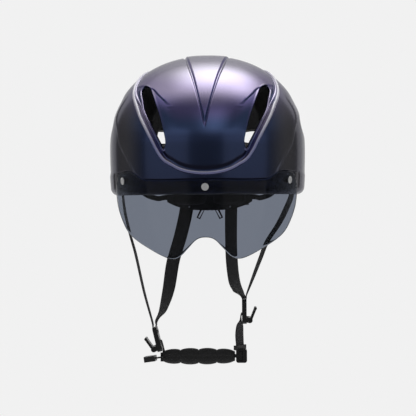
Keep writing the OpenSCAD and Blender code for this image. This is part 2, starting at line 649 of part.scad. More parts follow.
module pinion() {
    color([0.75, 0.75, 0.77])
    translate([0, rack_y, dial_z]) rotate([-90, 0, 0]) {
        linear_extrude(rack_t) polygon([
            for (i = [0:pinion_teeth - 1], q = [[-0.3, -1.15], [-0.08, 0.85], [0.08, 0.85], [0.3, -1.15]])
                let (r = pinion_r + q[1] * gear_m, a = 90 + (i + q[0] - 0.5) * 360 / pinion_teeth)
                [r * cos(a), r * sin(a)]
        ]);
        translate([0, 0, rack_t - 0.1])
            cylinder(d = shaft_d, h = case_back - rack_y - rack_t + knob_gap, $fn = 40);
        translate([0, 0, case_back - rack_y + 0.4]) intersection() {
            cylinder(d = drive_d, h = drive_l, $fn = 40);
            translate([-shaft_d, -drive_flat / 2, 0]) cube([2 * shaft_d, drive_flat, drive_l]);
        }
    }
}
case_back = case_y + 8;   // outer face of the gear case

module gear_case() {
    half = pinion_r + gear_m + rack_h + slot_gap; // of the racks' space
    color([0.1, 0.1, 0.11])
    difference() {
        translate([0, case_y + case_wall, dial_z]) rotate([-90, 0, 0])
            linear_extrude(case_back - case_y - case_wall)
                offset(4, $fn = 32) square([case_w - 8, case_h - 8], center = true);
        translate([-case_w, case_y, dial_z - half])
            cube([2 * case_w, rack_y + rack_t + run_space - case_y, 2 * half]);
        translate([0, case_y, dial_z]) rotate([-90, 0, 0])
            cylinder(d = shaft_d + 2 * run_gap, h = 12, $fn = 40);
        screw_places() cylinder(d = screw_hole, h = 20, center = true, $fn = 24);
    }
}
module screw_places() {
    for (x = [-1, 1], z = [-1, 1])
        translate([x * (case_w / 2 - screw_inset[0]), case_back, dial_z + z * (case_h / 2 - screw_inset[1])])
            rotate([-90, 0, 0]) children();
}
module slotted_head(d, h, sides) {
    difference() {
        cylinder(d = d, h = h, $fn = sides);
        translate([-0.4, -d * 0.38, h - 0.5]) cube([0.8, d * 0.76, h]);
    }
}
module gear_case_screws() {
    color([0.55, 0.55, 0.57])
    screw_places() {
        translate([0, 0, case_y - case_back + 0.6])
            cylinder(d = screw_d, h = case_back - case_y - 0.5, $fn = 24);
        translate([0, 0, 0.05]) slotted_head(screw_head[0], screw_head[1], 24);
    }
}

// Cradle behind the head, which carries the gear case
hanger_x = 15;    // place of each hanger
hanger_w = 7;
hanger_t = 1.4;
hanger_low = 12;
hanger_high = 38;
peg = [5, 8, 4];
plate_t = 1.8;
plate_face = 1.4; // its rear face, behind the inner face of the case
plate_half = 50;  // half its width
tab_in = hanger_x - hanger_w / 2;
tab_out = hanger_x + hanger_w / 2;
function plate_top(x) = case_h / 2 - 1 - 5 * pow(x / plate_half, 2);
function plate_edge(from, to) =
    [for (x = [-plate_half:5:plate_half]) if (x >= from && x <= to) [x, plate_top(x)]];
function tab(a, b) = // upright tab that a hanger sits on, from a to b
    let (top = hanger_low + 8 - dial_z) [[a, plate_top(a)], [a, top], [b, top], [b, plate_top(b)]];
module cradle_plate() {
    color([0.12, 0.12, 0.13])
    difference() {
        translate([0, case_y + plate_face, dial_z]) rotate([90, 0, 0]) linear_extrude(plate_t) union() {
            polygon(concat(
                plate_edge(-plate_half, -tab_out), tab(-tab_out, -tab_in),
                plate_edge(-tab_in, tab_in), tab(tab_in, tab_out), plate_edge(tab_out, plate_half),
                [for (x = [plate_half:-5:-plate_half])
                    [x, 10 * pow(abs(x) / plate_half, 3) - case_h / 2 - 1.5]]
            ));
            both() translate([0, -dial_z]) guide_loop();
        }
        screw_places() cylinder(d = screw_hole, h = 30, center = true, $fn = 24);
        both() for (x = [10, 24]) translate([x, case_y, dial_z]) rotate([90, 0, 0])
            linear_extrude(8, center = true) offset(2, $fn = 24) square([6, 10], center = true);
    }
}
// Slim loop under the cradle that keeps a rear strap from swinging in
module guide_loop() {
    difference() {
        polygon([[5, -16], [10.6, -16], [15.6, -27], [11.4, -29]]);
        polygon([[7.2, -18.6], [9.4, -18.6], [13.6, -26.6], [12, -27.2]]);
    }
}
module cradle_pad() {
    color([0.09, 0.09, 0.1])
    both() translate([0, case_y + plate_face - plate_t - 0.2, dial_z]) rings([
        for (i = [0:8])
            let (e = pow(sin(180 * i / 8), 0.5), x = lerp(4, 42, i / 8), h = lerp(4, 9, e),
                 t = lerp(1, pad_t - 1, e))
            [[x, 0, -h], [x, -t * 0.8, -h * 0.8], [x, -t, 0], [x, -t * 0.8, h * 0.8], [x, 0, h]]
    ]);
}
module cradle_hanger() {
    color([0.12, 0.12, 0.13])
    both() translate([hanger_x, hanger_y, 0]) {
        translate([-hanger_w / 2, 0, hanger_low]) cube([hanger_w, hanger_t, hanger_high - hanger_low]);
        translate([-peg[0] / 2, hanger_t - 0.1, hanger_high - peg[2] - 1]) cube(peg);
    }
}
hanger_y = case_y + plate_face + seat_gap;
module hanger_pocket() {
    translate([hanger_x - peg[0] / 2 - seat_gap, hanger_y + hanger_t, hanger_high - peg[2] - 1 - seat_gap])
        cube(peg + seat_gap * [2, 1, 2]);
}

// Knob with finger scallops
grips = 12;
dish_r = 8;          // shallow dish in the knob's face
dish_d = 1.2;
sink_d = 3.2;        // depth of the screw's seat below the knob's face
dial_screw_d = 4.8;
module dial_knob() {
    y0 = case_back + knob_gap;
    color([0.1, 0.1, 0.11])
    difference() {
        translate([0, y0, dial_z]) rotate([-90, 0, 0]) rotate_extrude($fn = 72) polygon([
            [0, 0], [knob_d / 2 - 1, 0], [knob_d / 2, 1],
            [knob_d / 2, knob_t - 2.4], [knob_d / 2 - 2.4, knob_t],
            [dish_r + 1, knob_t], [dish_r, knob_t - dish_d], [0, knob_t - dish_d]
        ]);
        for (k = [0:grips - 1]) translate([0, y0 - 1, dial_z]) rotate([0, k * 360 / grips, 0])
            translate([knob_d / 2 + 1.4, 0, 0]) rotate([-90, 0, 0]) cylinder(d = 5, h = knob_t + 2, $fn = 24);
        translate([0, y0 - 1, dial_z]) rotate([-90, 0, 0]) intersection() {
            cylinder(d = drive_d + 2 * run_gap, h = drive_l + 1.4, $fn = 40);
            translate([-shaft_d, -drive_flat / 2 - run_gap, 0])
                cube([2 * shaft_d, drive_flat + 2 * run_gap, drive_l + 1.4]);
        }
        translate([0, y0, dial_z]) rotate([-90, 0, 0]) cylinder(d = screw_hole, h = knob_t, $fn = 24);
        translate([0, y0 + knob_t - sink_d, dial_z]) rotate([-90, 0, 0])
            cylinder(d = dial_screw_d + 2 * seat_gap, h = sink_d + 1, $fn = 32);
    }
}
module dial_screw() {
    color([0.55, 0.55, 0.57])
    translate([0, case_back + knob_gap + knob_t - sink_d + 0.1, dial_z]) rotate([-90, 0, 0]) {
        slotted_head(dial_screw_d, 1.4, 32);
        translate([0, 0, -0.6]) cylinder(d = screw_d, h = 0.7, $fn = 24);
    }
}

// Strap dividers with cam levers, modelled upright at their own origin. out is +1 where the lever
// faces +X.
divider_size = [5, web_w + 6, 27];
divider_slot = [web_w + 1.2, 3.4];
slot_rises = [8.6, -2];    // heights of the slots over the divider's middle
ear_t = 2.2;
pivot = [6, 0, -9.5];      // cam pin
pin_d = 2.4;
cam_d = 6;
lever_l = 17;
lever_t = 2.6;
lever_open = 22;           // how far the levers stand open at rest
divider_places = [[-56.2, -8, -159, -13, -1], [39, -8, -129, 0, 1]]; // x, y, z, tilt, out
module divider_frame(k) {
    q = divider_places[k];
    translate([q[0], q[1], q[2]]) rotate([0, q[3], 0]) mirror([q[4] < 0 ? 1 : 0, 0, 0]) children();
}
module divider_body() {
    color([0.1, 0.1, 0.11])
    difference() {
        union() {
            rotate([90, 0, 90]) linear_extrude(divider_size[0], center = true)
                offset(4, $fn = 32) square([divider_size[1] - 8, divider_size[2] - 8], center = true);
            for (y = [-1, 1] * (divider_size[1] - ear_t) / 2) hull() {
                translate([pivot[0], y, pivot[2]]) rotate([90, 0, 0])
                    cylinder(d = cam_d, h = ear_t, center = true, $fn = 32);
                translate([0, y, pivot[2] + 1]) rotate([90, 0, 0])
                    cylinder(d = divider_size[0], h = ear_t, center = true, $fn = 32);
            }
        }
        for (z = slot_rises) translate([0, 0, z])
            cube([4 * divider_size[0], divider_slot[0], divider_slot[1]], center = true);
        translate(pivot) rotate([90, 0, 0]) cylinder(d = pin_d + 0.02, h = 30, center = true, $fn = 32);
    }
}
module cam_pin() {
    color([0.1, 0.1, 0.11])
    translate(pivot) rotate([90, 0, 0]) cylinder(d = pin_d, h = divider_size[1] - 1, center = true, $fn = 32);
}
module cam_lever() {
    w = divider_size[1] - 2 * ear_t - 0.6;
    color([0.1, 0.1, 0.11])
    translate(pivot) rotate([0, lever_open, 0]) difference() {
        union() {
            rotate([90, 0, 0]) cylinder(d = cam_d, h = w, center = true, $fn = 40);
            translate([-0.4, -w / 2, 0]) cube([lever_t, w, lever_l - 2]);
            translate([lever_t / 2 - 0.4, 0, lever_l - 3]) rotate([90, 0, 0])
                cylinder(d = lever_t + 0.6, h = w, center = true, $fn = 32);
        }
        rotate([90, 0, 0]) cylinder(d = pin_d + 2 * run_gap, h = 30, center = true, $fn = 32);
    }
}

// Chin strap: pad, webbing and a magnetic hook buckle that slides out forwards
chin_mid = [-10.5, -9, -178.6];
function chin_x(u) = chin_mid[0] - chin_l / 2 + chin_l * u;
function lobe(u) = abs(sin(180 * u * chin_lobes));
module chin_pad() {
    color([0.07, 0.07, 0.08])
    difference() {
        rings([
            for (i = [0:8 * chin_lobes])
                let (u = i / 8 / chin_lobes, e = pow(max(0, sin(180 * clamp01(0.04 + 0.92 * u))), 0.25),
                     h = (chin_h / 2 + 1.7 * lobe(u)) * e, t = (chin_t / 2 - 0.6 + 0.9 * lobe(u)) * e)
                [for (a = [330:-30:0]) [
                    chin_x(u), chin_mid[1] + t * power(cos(a), 0.8), chin_mid[2] + h * power(sin(a), 0.8)
                ]]
        ]);
        translate([chin_mid[0], chin_mid[1], chin_mid[2]])
            cube([chin_l + 4, web_t + 2 * slot_gap, web_c + 2 * slot_gap], center = true);
    }
}
web_c = 10; // width of the narrower chin webbing
chin_web_end = 4; // how far the webbing stands out of each end of the pad
module chin_webbing() {
    color([0.08, 0.08, 0.09])
    translate([chin_x(0) - chin_web_end, chin_mid[1] - web_t / 2, chin_mid[2] - web_c / 2])
        cube([chin_l + chin_web_end, web_t, web_c]);
}
module chin_link_right() {
    color([0.08, 0.08, 0.09]) band([
        [-52.2, -8, -160.2, 90], [-50.7, -8, -165.2, 90], [-49.5, -8, -170, 90], [-49.1, -8.5, -172.9, 80]
    ], web_c, web_t, 3);
}
// Hook buckle: the tongue's T head hangs behind two jaws of the socket and slides out forwards
socket_x = chin_x(1) + 1.6;
socket_w = 12;
socket_h = 15;
socket_t = 9;
tongue_d = socket_t - 3.7; // depth of the tongue
stem_h = 3.6;              // height of the tongue's stem
hook_h = 9.6;              // height of its T head
hook_t = 3.6;
hook_x = 3.4;              // place of the T head in the socket
magnet_x = hook_x + hook_t / 2;
module buckle_socket() {
    color([0.1, 0.1, 0.11])
    translate([socket_x, chin_mid[1], chin_mid[2] + 1]) difference() {
        union() {
            translate([0, socket_t / 2, 0]) rotate([90, 0, 0]) linear_extrude(socket_t)
                translate([socket_w / 2, 0]) offset(2.5, $fn = 24)
                    square([socket_w - 5, socket_h - 5], center = true);
            translate([socket_w / 2 - 1.6, 0, socket_h / 2 + 1.6]) rotate([0, 0, 60])
                cube([web_w + 4, 4.4, 5], center = true);
        }
        for (c = [[-1, 5, stem_h], [hook_x - slot_gap, hook_t + 2 * slot_gap, hook_h]])
            translate([c[0], -socket_t / 2 - 1, -c[2] / 2 - slot_gap])
                cube([c[1], socket_t - 2, c[2] + 2 * slot_gap]);
        translate([magnet_x, socket_t / 2 - 3, 0]) rotate([-90, 0, 0]) cylinder(d = 4.1, h = 1.9, $fn = 32);
        translate([socket_w / 2 - 1.6, 0, socket_h / 2 + 3.4]) rotate([0, 0, 60])
            cube([web_w + 2 * slot_gap, web_t + 2 * slot_gap, 4], center = true);
    }
}
module socket_magnet() {
    color([0.6, 0.6, 0.62])
    translate([socket_x + magnet_x, chin_mid[1] + socket_t / 2 - 2.9, chin_mid[2] + 1]) rotate([-90, 0, 0])
        cylinder(d = 4, h = 1.7, $fn = 32);
}
module buckle_tongue() {
    color([0.1, 0.1, 0.11])
    translate([socket_x, chin_mid[1], chin_mid[2] + 1]) difference() {
        union() {
            translate([hook_x, -socket_t / 2 + 0.4, -hook_h / 2]) cube([hook_t, tongue_d, hook_h]);
            translate([-1.3, -socket_t / 2 + 0.4, -stem_h / 2]) cube([hook_x + 1.6, tongue_d, stem_h]);
        }
        translate([magnet_x, -socket_t / 2 + 0.4 + tongue_d - 1.9, 0]) rotate([-90, 0, 0])
            cylinder(d = 3.1, h = 3, $fn = 32);
    }
}
module tongue_magnet() {
    color([0.6, 0.6, 0.62])
    translate([socket_x + magnet_x, chin_mid[1] - socket_t / 2 + 0.4 + tongue_d - 1.8, chin_mid[2] + 1])
        rotate([-90, 0, 0]) cylinder(d = 3, h = 1.7, $fn = 32);
}
// Loose end of the webbing, with its moulded stop
module strap_tail() {
    color([0.08, 0.08, 0.09]) band([
        [-50.2, -15.3, -178.1, 82], [-53.9, -14.8, -178.6, 82], [-58.2, -14.2, -179.2, 82]
    ], 10, web_t, 3);
}
module tail_stop() {
    color([0.12, 0.12, 0.13])
    translate([-63.9, -13.4, -180]) rotate([0, -8, -8]) difference() {
        cube([12, 13, 6], center = true);
        translate([4, 0, 0]) cube([9, 10.8, web_t + 2 * slot_gap], center = true);
    }
}

crown_shell();
side_shell();
foam_liner();
shell_magnets();
brow_pad();
crown_pad();
temple_pad();  // temple_pad_left
mirror([1, 0, 0]) temple_pad();  // temple_pad_right
anchor(front_anchor);  // strap_anchor_front_left
mirror([1, 0, 0]) anchor(front_anchor);  // strap_anchor_front_right
anchor(rear_anchor);  // strap_anchor_rear_left
mirror([1, 0, 0]) anchor(rear_anchor);  // strap_anchor_rear_right
ring_plug();  // ring_plug_left
mirror([1, 0, 0]) ring_plug();  // ring_plug_right
ring_arm();  // ring_arm_left
mirror([1, 0, 0]) ring_arm();  // ring_arm_right
translate([0, 0, dial_z]) rack();  // rack_left
translate([0, 0, dial_z]) rotate([0, 180, 0]) rack();  // rack_right
cradle_plate();
cradle_pad();
cradle_hanger();
gear_case();
gear_case_screws();
pinion();
dial_knob();
dial_screw();
visor_lens();
visor_studs();
visor_magnets();
webbing(front_left_route);  // strap_front_left
webbing(front_right_route);  // strap_front_right
webbing(rear_left_route);  // strap_rear_left
webbing(rear_right_route);  // strap_rear_right
divider_frame(1) divider_body();  // divider_left
divider_frame(0) divider_body();  // divider_right
divider_frame(1) cam_pin();  // cam_pin_left
divider_frame(0) cam_pin();  // cam_pin_right
divider_frame(1) cam_lever();  // cam_lever_left
divider_frame(0) cam_lever();  // cam_lever_right
webbing(lower_left_route);  // strap_lower_left
buckle_socket();
socket_magnet();
buckle_tongue();
tongue_magnet();
chin_webbing();
chin_pad();
chin_link_right();
strap_tail();
tail_stop();
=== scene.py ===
import json
import logging
import math
from dataclasses import dataclass, field
from enum import Enum
from functools import partial
from typing import Callable, Optional, Sequence, Union

import bpy
import numpy as np
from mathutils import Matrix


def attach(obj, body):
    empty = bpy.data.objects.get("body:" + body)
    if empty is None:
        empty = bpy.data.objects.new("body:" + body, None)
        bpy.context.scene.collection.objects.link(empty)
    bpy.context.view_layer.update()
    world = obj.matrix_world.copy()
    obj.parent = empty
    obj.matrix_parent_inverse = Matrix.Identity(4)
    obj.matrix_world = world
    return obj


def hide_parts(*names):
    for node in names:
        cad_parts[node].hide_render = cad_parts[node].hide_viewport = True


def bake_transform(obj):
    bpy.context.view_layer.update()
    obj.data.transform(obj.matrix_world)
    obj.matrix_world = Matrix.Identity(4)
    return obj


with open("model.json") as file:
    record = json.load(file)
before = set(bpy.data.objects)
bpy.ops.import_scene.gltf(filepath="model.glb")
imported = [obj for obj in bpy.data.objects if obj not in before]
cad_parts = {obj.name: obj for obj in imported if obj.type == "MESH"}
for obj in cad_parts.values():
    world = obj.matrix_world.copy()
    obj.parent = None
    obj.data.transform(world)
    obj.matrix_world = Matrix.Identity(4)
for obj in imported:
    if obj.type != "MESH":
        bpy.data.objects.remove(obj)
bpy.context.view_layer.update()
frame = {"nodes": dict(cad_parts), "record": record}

log = logging.getLogger("helmet")
Array = np.ndarray
Colour = tuple[float, float, float]
MM = 0.001  # metres in a millimetre
UP = np.array([0, 0, 1.0])
HELMET_MIDDLE = np.array([0, 0, 30])  # a point well inside the shell, in millimetres


class Side(Enum):
    """Side of the helmet as its wearer has it, with the sign of its x."""

    LEFT = 1
    RIGHT = -1


# Curves and small helpers

def curve(rows: Sequence[Sequence[float]], x: Array) -> Array:
    """Smooth curve through a table: a cubic between two rows, with slopes from the rows on either side.

    Args:
        rows: Rows of place and value, in order of place.
        x: Places to read the curve at.

    Returns:
        The curve's values, which stay flat beyond both ends.
    """
    table = np.asarray(rows, float)
    xs, ys = table[:, 0], table[:, 1]
    x = np.asarray(x, float)
    i = np.clip(np.searchsorted(xs, x, side="right") - 1, 0, len(xs) - 2)
    slope = np.zeros(len(xs))
    slope[1:-1] = (ys[2:] - ys[:-2]) / (xs[2:] - xs[:-2])
    h = xs[i + 1] - xs[i]
    u = np.clip((x - xs[i]) / h, 0, 1)
    rise = 3 * u**2 - 2 * u**3
    return (ys[i] * (1 - rise) + slope[i] * h * (u**3 - 2 * u**2 + u)
            + ys[i + 1] * rise + slope[i + 1] * h * (u**3 - u**2))


def ease(t: Array) -> Array:
    """Runs from 0 at t = 0 to 1 at t = 1, flat at both ends."""
    c = np.clip(t, 0, 1)
    return c * c * (3 - 2 * c)


def stretch(x: Array, start: float, full: float, leave: float, end: float) -> Array:
    """Runs from 0 at start to 1 at full, stays there up to leave, and is 0 again at end."""
    return ease((x - start) / (full - start)) * (1 - ease((x - leave) / (end - leave)))


def lerp(a: Array, b: Array, t: Array) -> Array:
    """Straight mix of a and b by the share t."""
    return a + (b - a) * t


def bump(t: Array) -> Array:
    """Smooth hump of height 1 at t = 0, which ends at t = -1 and t = 1."""
    return (1 - np.clip(np.abs(t), 0, 1)**2)**2


def power(v: Array, e: float) -> Array:
    """Power of the size of v that keeps its sign."""
    return np.sign(v) * np.abs(v)**e


def unit(v: Array) -> Array:
    """Vectors of length 1 along v's last axis."""
    return v / np.maximum(np.linalg.norm(v, axis=-1, keepdims=True), 1e-9)


def cosd(a: Array) -> Array:
    """Cosine of degrees."""
    return np.cos(np.radians(a))


def sind(a: Array) -> Array:
    """Sine of degrees."""
    return np.sin(np.radians(a))


def folded(th: Array) -> Array:
    """Azimuth from 0 to 180 degrees of a place on either side."""
    m = np.mod(th, 360)
    return np.where(m > 180, 360 - m, m)


def tapered(a: Array) -> Array:
    """1 in the middle of a piece, at a = 0, and 0 at its ends, at -1 and 1: (1 - |a|^3)^0.5."""
    return (1 - np.abs(a)**3)**0.5


def through(points: Sequence[Sequence[float]], t: Array, closed: bool = False) -> Array:
    """Smooth curve through points (Catmull-Rom).

    Args:
        points: Points in order, with any number of columns.
        t: Places along the curve, where t = k is the point k.
        closed: Whether the curve runs on from the last point to the first.

    Returns:
        A row for each t.
    """
    p = np.asarray(points, float)
    last = len(p) - 1
    i = np.floor(t).astype(int) if closed else np.minimum(t.astype(int), last - 1)
    u = (t - i)[:, None]
    a, b, c, d = (p[(i + k) % len(p) if closed else np.clip(i + k, 0, last)] for k in (-1, 0, 1, 2))
    return 0.5 * (2 * b + (c - a) * u + (2 * a - 5 * b + 4 * c - d) * u**2
                  + (3 * b - a - 3 * c + d) * u**3)


def smoothed(points: Sequence[Sequence[float]], cuts: int) -> Array:
    """Smooth open curve through points, with equally many steps between each two."""
    spans = len(points) - 1
    return through(points, np.linspace(0, spans, spans * cuts + 1))


def swept(path: Array, across: Array, up: Array, x: Array, y: Array) -> Array:
    """Rings of a section along a path: each point of the path plus x times across plus y times up."""
    return path[:, None] + x[:, None] * across[:, None] + y[:, None] * up[:, None]


def spaced(stops: Sequence[float], counts: Sequence[int]) -> Array:
    """Values from the first stop to the last, with a count of equal steps between each two stops."""
    parts = [np.linspace(a, b, n, endpoint=False) for a, b, n in zip(stops, stops[1:], counts)]
    return np.concatenate(parts + [[float(stops[-1])]])


def azimuths(stops: Sequence[float], counts: Sequence[int]) -> Array:
    """Azimuths right round the helmet, alike on both sides.

    Args:
        stops: Azimuths from 0 to 180 degrees.
        counts: Columns between each stop and the next.

    Returns:
        Two columns for each column between the stops.
    """
    half = spaced(stops, counts)
    return np.concatenate([half, 360 - half[-2:0:-1]])


def oval(middle: Sequence[float], t: Array, exponent: float = 0.7) -> tuple[Array, Array]:
    """Rounded oblong.

    Args:
        middle: Middles of its first and second number, then their half spans.
        t: Place round it from 0 to 1, which runs towards a larger first and then a smaller second number.
        exponent: Lower for squarer corners.

    Returns:
        Its two numbers.
    """
    a = 360 * np.asarray(t)
    return middle[0] + middle[2] * power(cosd(a), exponent), middle[1] - middle[3] * power(sind(a), exponent)


# Meshes under construction

@dataclass
class Sheet:
    """A surface under construction: points in millimetres, and faces with a UV at each corner.

    A face has four corners. In a triangle the last of them is given twice.
    """

    points: Array = field(default_factory=lambda: np.zeros((0, 3)))
    marks: Array = field(default_factory=lambda: np.zeros(0))
    faces: Array = field(default_factory=lambda: np.zeros((0, 4), int))
    uv: Array = field(default_factory=lambda: np.zeros((0, 4, 2)))

    def add(self, points: Array, marks: Array = 0) -> Array:
        """Adds points of any grid shape.

        Args:
            points: Points, with x, y and z on the last axis.
            marks: How far each point lies in the pale strip, whose colour is a painted highlight, from 0 to
                1.

        Returns:
            Their indices, in the grid's shape.
        """
        start, shape = len(self.points), np.shape(points)[:-1]
        self.points = np.vstack([self.points, np.asarray(points, float).reshape(-1, 3)])
        self.marks = np.append(self.marks, np.broadcast_to(marks, shape))
        return np.arange(start, len(self.points)).reshape(shape)

    def face(self, faces: Array, uv: Optional[Array] = None) -> None:
        """Adds faces by the indices of their four or three corners, and their UVs if given."""
        if faces.shape[1] == 3:
            faces = np.hstack([faces, faces[:, 2:]])
        self.faces = np.vstack([self.faces, faces])
        self.uv = np.vstack([self.uv, np.zeros((len(faces), 4, 2)) if uv is None else uv])

    def grid(self, index: Array, looped: bool = False, keep: Optional[Array] = None,
             uv: Optional[Array] = None) -> None:
        """Adds the cells of a grid of indices.

        Args:
            index: Indices by row and column.
            looped: Whether the last column joins the first.
            keep: Which cells to make, by row and column.
            uv: UV at each row and column, with one column more where the columns loop.
        """
        a = np.concatenate([index, index[:, :1]], 1) if looped else index
        chosen = np.ones((len(a) - 1, a.shape[1] - 1), bool) if keep is None else keep

        def corners(grid: Array) -> Array:
            """The four corners of every chosen cell."""
            return np.stack([grid[:-1, :-1], grid[:-1, 1:], grid[1:, 1:], grid[1:, :-1]], 2)[chosen]
        self.face(corners(a), None if uv is None else corners(uv))

    def bridge(self, loops: Sequence[Array]) -> None:
        """Joins closed loops of equally many points, one after the other."""
        self.grid(np.stack(loops), looped=True)

    def stitch(self, fine: Array, coarse: Array, first: bool = False) -> None:
        """Joins a closed loop to one with a third of its points, which starts at the same place.

        Args:
            fine: Indices of the fine loop.
            coarse: Indices of the coarse loop.
            first: Whether the fine loop is the first row of its grid, and not the last.
        """
        turn = slice(None, None, -1 if first else 1)
        f, c = np.append(fine, fine[0]), np.append(coarse, coarse[0])
        a, b, d, e = (f[k:len(fine) + k:3] for k in range(4))
        self.face(np.concatenate([np.stack([a, b, c[:-1]], -1), np.stack([b, d, c[:-1]], -1)])[:, turn])
        self.face(np.stack([d, e, c[1:], c[:-1]], -1)[:, turn])

    def cap(self, loop: Array, first: bool = False) -> None:
        """Closes a loop with a fan to its mean point.

        Args:
            loop: Indices of the loop.
            first: Whether the loop is the first row of its grid, and not the last.
        """
        centre = self.add(self.points[loop].mean(0)[None])
        a, b = (np.roll(loop, -1), loop) if first else (loop, np.roll(loop, -1))
        self.face(np.stack([a, b, np.broadcast_to(centre, loop.shape)], -1))

    def tube(self, rings: Array, uv: Optional[Array] = None) -> "Sheet":
        """Adds a closed form of rings in order, with both ends capped."""
        index = self.add(rings)
        self.grid(index, looped=True, uv=uv)
        self.cap(index[0], first=True)
        self.cap(index[-1])
        return self

    def turned_over(self) -> "Sheet":
        """Turns every face over."""
        self.faces, self.uv = self.faces[:, ::-1], self.uv[:, ::-1]
        return self

    def outwards(self) -> "Sheet":
        """Turns every face over if the sheet is inside out, so if the volume in it comes out negative."""
        a, b, c, d = (self.points[self.faces[:, k]] for k in range(4))
        return self.turned_over() if (a * (np.cross(b, c) + np.cross(c, d))).sum() < 0 else self

    def joined(self, other: "Sheet") -> "Sheet":
        """Adds another sheet's points and faces."""
        self.faces = np.vstack([self.faces, other.faces + len(self.points)])
        self.points = np.vstack([self.points, other.points])
        self.marks = np.append(self.marks, other.marks)
        self.uv = np.vstack([self.uv, other.uv])
        return self

    def flipped_x(self) -> "Sheet":
        """Mirror image on the other side of the helmet, with its faces turned over to suit."""
        return Sheet(self.points * (-1, 1, 1), self.marks, self.faces, self.uv).turned_over()

    def piece(self, name: str, material: bpy.types.Material) -> bpy.types.Object:
        """Makes the Blender object, in metres, with its place in its mesh.

        Args:
            name: The piece's name.
            material: Its finish.

        Returns:
            The object, linked to the scene.
        """
        corner = np.ones(self.faces.shape, bool)
        corner[:, 1:] = self.faces[:, 1:] != self.faces[:, :-1]
        sizes = corner.sum(1)
        mesh = bpy.data.meshes.new(name)
        mesh.vertices.add(len(self.points))
        mesh.vertices.foreach_set("co", (self.points * MM).astype(np.float32).ravel())
        mesh.loops.add(int(sizes.sum()))
        mesh.loops.foreach_set("vertex_index", self.faces[corner].astype(np.int32))
        mesh.polygons.add(len(sizes))
        mesh.polygons.foreach_set("loop_start", (np.cumsum(sizes) - sizes).astype(np.int32))
        mesh.update(calc_edges=True)
        mesh.validate()
        mesh.uv_layers.new(name="UVMap").data.foreach_set("uv", self.uv[corner].astype(np.float32).ravel())
        # the pale strip's share, which the paint turns into a painted highlight
        if self.marks.any():
            trim_and_highlight = mesh.attributes.new("trim_and_highlight", "FLOAT", "POINT")
            trim_and_highlight.data.foreach_set("value", self.marks.astype(np.float32))
        mesh.shade_smooth()
        mesh.materials.append(material)
        obj = bpy.data.objects.new(name, mesh)
        bpy.context.scene.collection.objects.link(obj)
        return obj


@dataclass
class Opening:
    """A hole in a grid: its window of whole rows and columns, and its outline in the grid's two numbers.

    The corners are the outline's places for the window's four corners, in the order (first row, first
    column), (first row, last column), (last row, last column), (last row, first column).
    """

    rows: tuple[int, int]
    cols: tuple[int, int]
    outline: Callable[[Array], Array]
    corners: tuple[float, float, float, float]
    turns: float     # how far the outline's places run in one turn
    rings: int = 12  # rings of cells between the outline and the window

    def window(self) -> tuple[Array, Array]:
        """Rows and columns of the points round the window."""
        (j0, j1), (i0, i1) = self.rows, self.cols
        rows = [np.full(i1 - i0, j0), np.arange(j0, j1), np.full(i1 - i0, j1), np.arange(j1, j0, -1)]
        cols = [np.arange(i0, i1), np.full(j1 - j0, i1), np.arange(i1, i0, -1), np.full(j1 - j0, i0)]
        return np.concatenate(rows), np.concatenate(cols)

    def places(self) -> Array:
        """Place along the outline of each point round the window, spaced evenly between corners."""
        counts = [self.cols[1] - self.cols[0], self.rows[1] - self.rows[0]] * 2
        return spaced((*self.corners, self.corners[0] + self.turns), counts)[:-1]

    def mirrored(self, total: int) -> "Opening":
        """The same opening on the other side of a grid of total columns round the helmet."""
        a, b, c, d = self.corners
        return Opening(self.rows, (total - self.cols[1], total - self.cols[0]),
                       lambda t: self.outline(-t) * (-1, 1) + (360, 0),
                       (-b, -a, self.turns - d, self.turns - c), self.turns, self.rings)

    def coarser(self) -> "Opening":
        """The same opening on a grid with a third of the rows and columns."""
        third = tuple(j // 3 for j in self.rows), tuple(i // 3 for i in self.cols)
        return Opening(*third, self.outline, self.corners, self.turns, self.rings // 3)


@dataclass
class Rims:
    """Loops of a grid: its top, its bottom, its openings, and the rings just outside these."""

    top: Array
    bottom: Array
    openings: Sequence[Array]
    rings: Sequence[Array]

    def shifted(self, by: int) -> "Rims":
        """The same loops where the grid's points come after others in a joined sheet."""
        return Rims(self.top + by, self.bottom + by, *([loop + by for loop in part]
                                                       for part in (self.openings, self.rings)))


@dataclass
class WindowGrid:
    """Surface over two numbers, u round the helmet and v down it, with openings set into its grid.

    Between an opening's outline and its window the grid gives way to rings that run from the one to
    the other: ring k lies at the share (k / rings) ^ spread of the way out from the outline.
    """

    u: Array
    v: Array
    surface: Callable[[Array, Array], Array]
    openings: list[Opening] = field(default_factory=list)
    mark: Callable[[Array, Array], Array] = lambda u, v: np.zeros(np.shape(u))
    spread: float = 1.4

    def build(self, sheet: Sheet) -> Rims:
        """Adds the surface to a sheet.

        Args:
            sheet: The sheet to add to.

        Returns:
            Its loops.
        """
        rows, cols = len(self.v), len(self.u)
        uu, vv = np.meshgrid(self.u, self.v)
        index = sheet.add(self.surface(uu, vv), self.mark(uu, vv))
        keep = np.ones((rows - 1, cols), bool)
        loops, rings = [], []
        for o in self.openings:
            keep[slice(*o.rows), slice(*o.cols)] = False
            j, i = o.window()
            uv_out = np.stack([self.u[i % cols], self.v[j]], -1)
            uv_in = o.outline(o.places())
            share = ((np.arange(o.rings) / o.rings)**self.spread)[:, None, None]
            at = np.moveaxis(uv_in + (uv_out - uv_in) * share, -1, 0)
            ring = sheet.add(self.surface(*at), self.mark(*at))
            sheet.bridge([index[j, i % cols], *ring[::-1]])
            loops.append(ring[0])
            rings.append(ring[1])
        sheet.grid(index, looped=True, keep=keep)
        return Rims(index[0], index[-1], loops, rings)


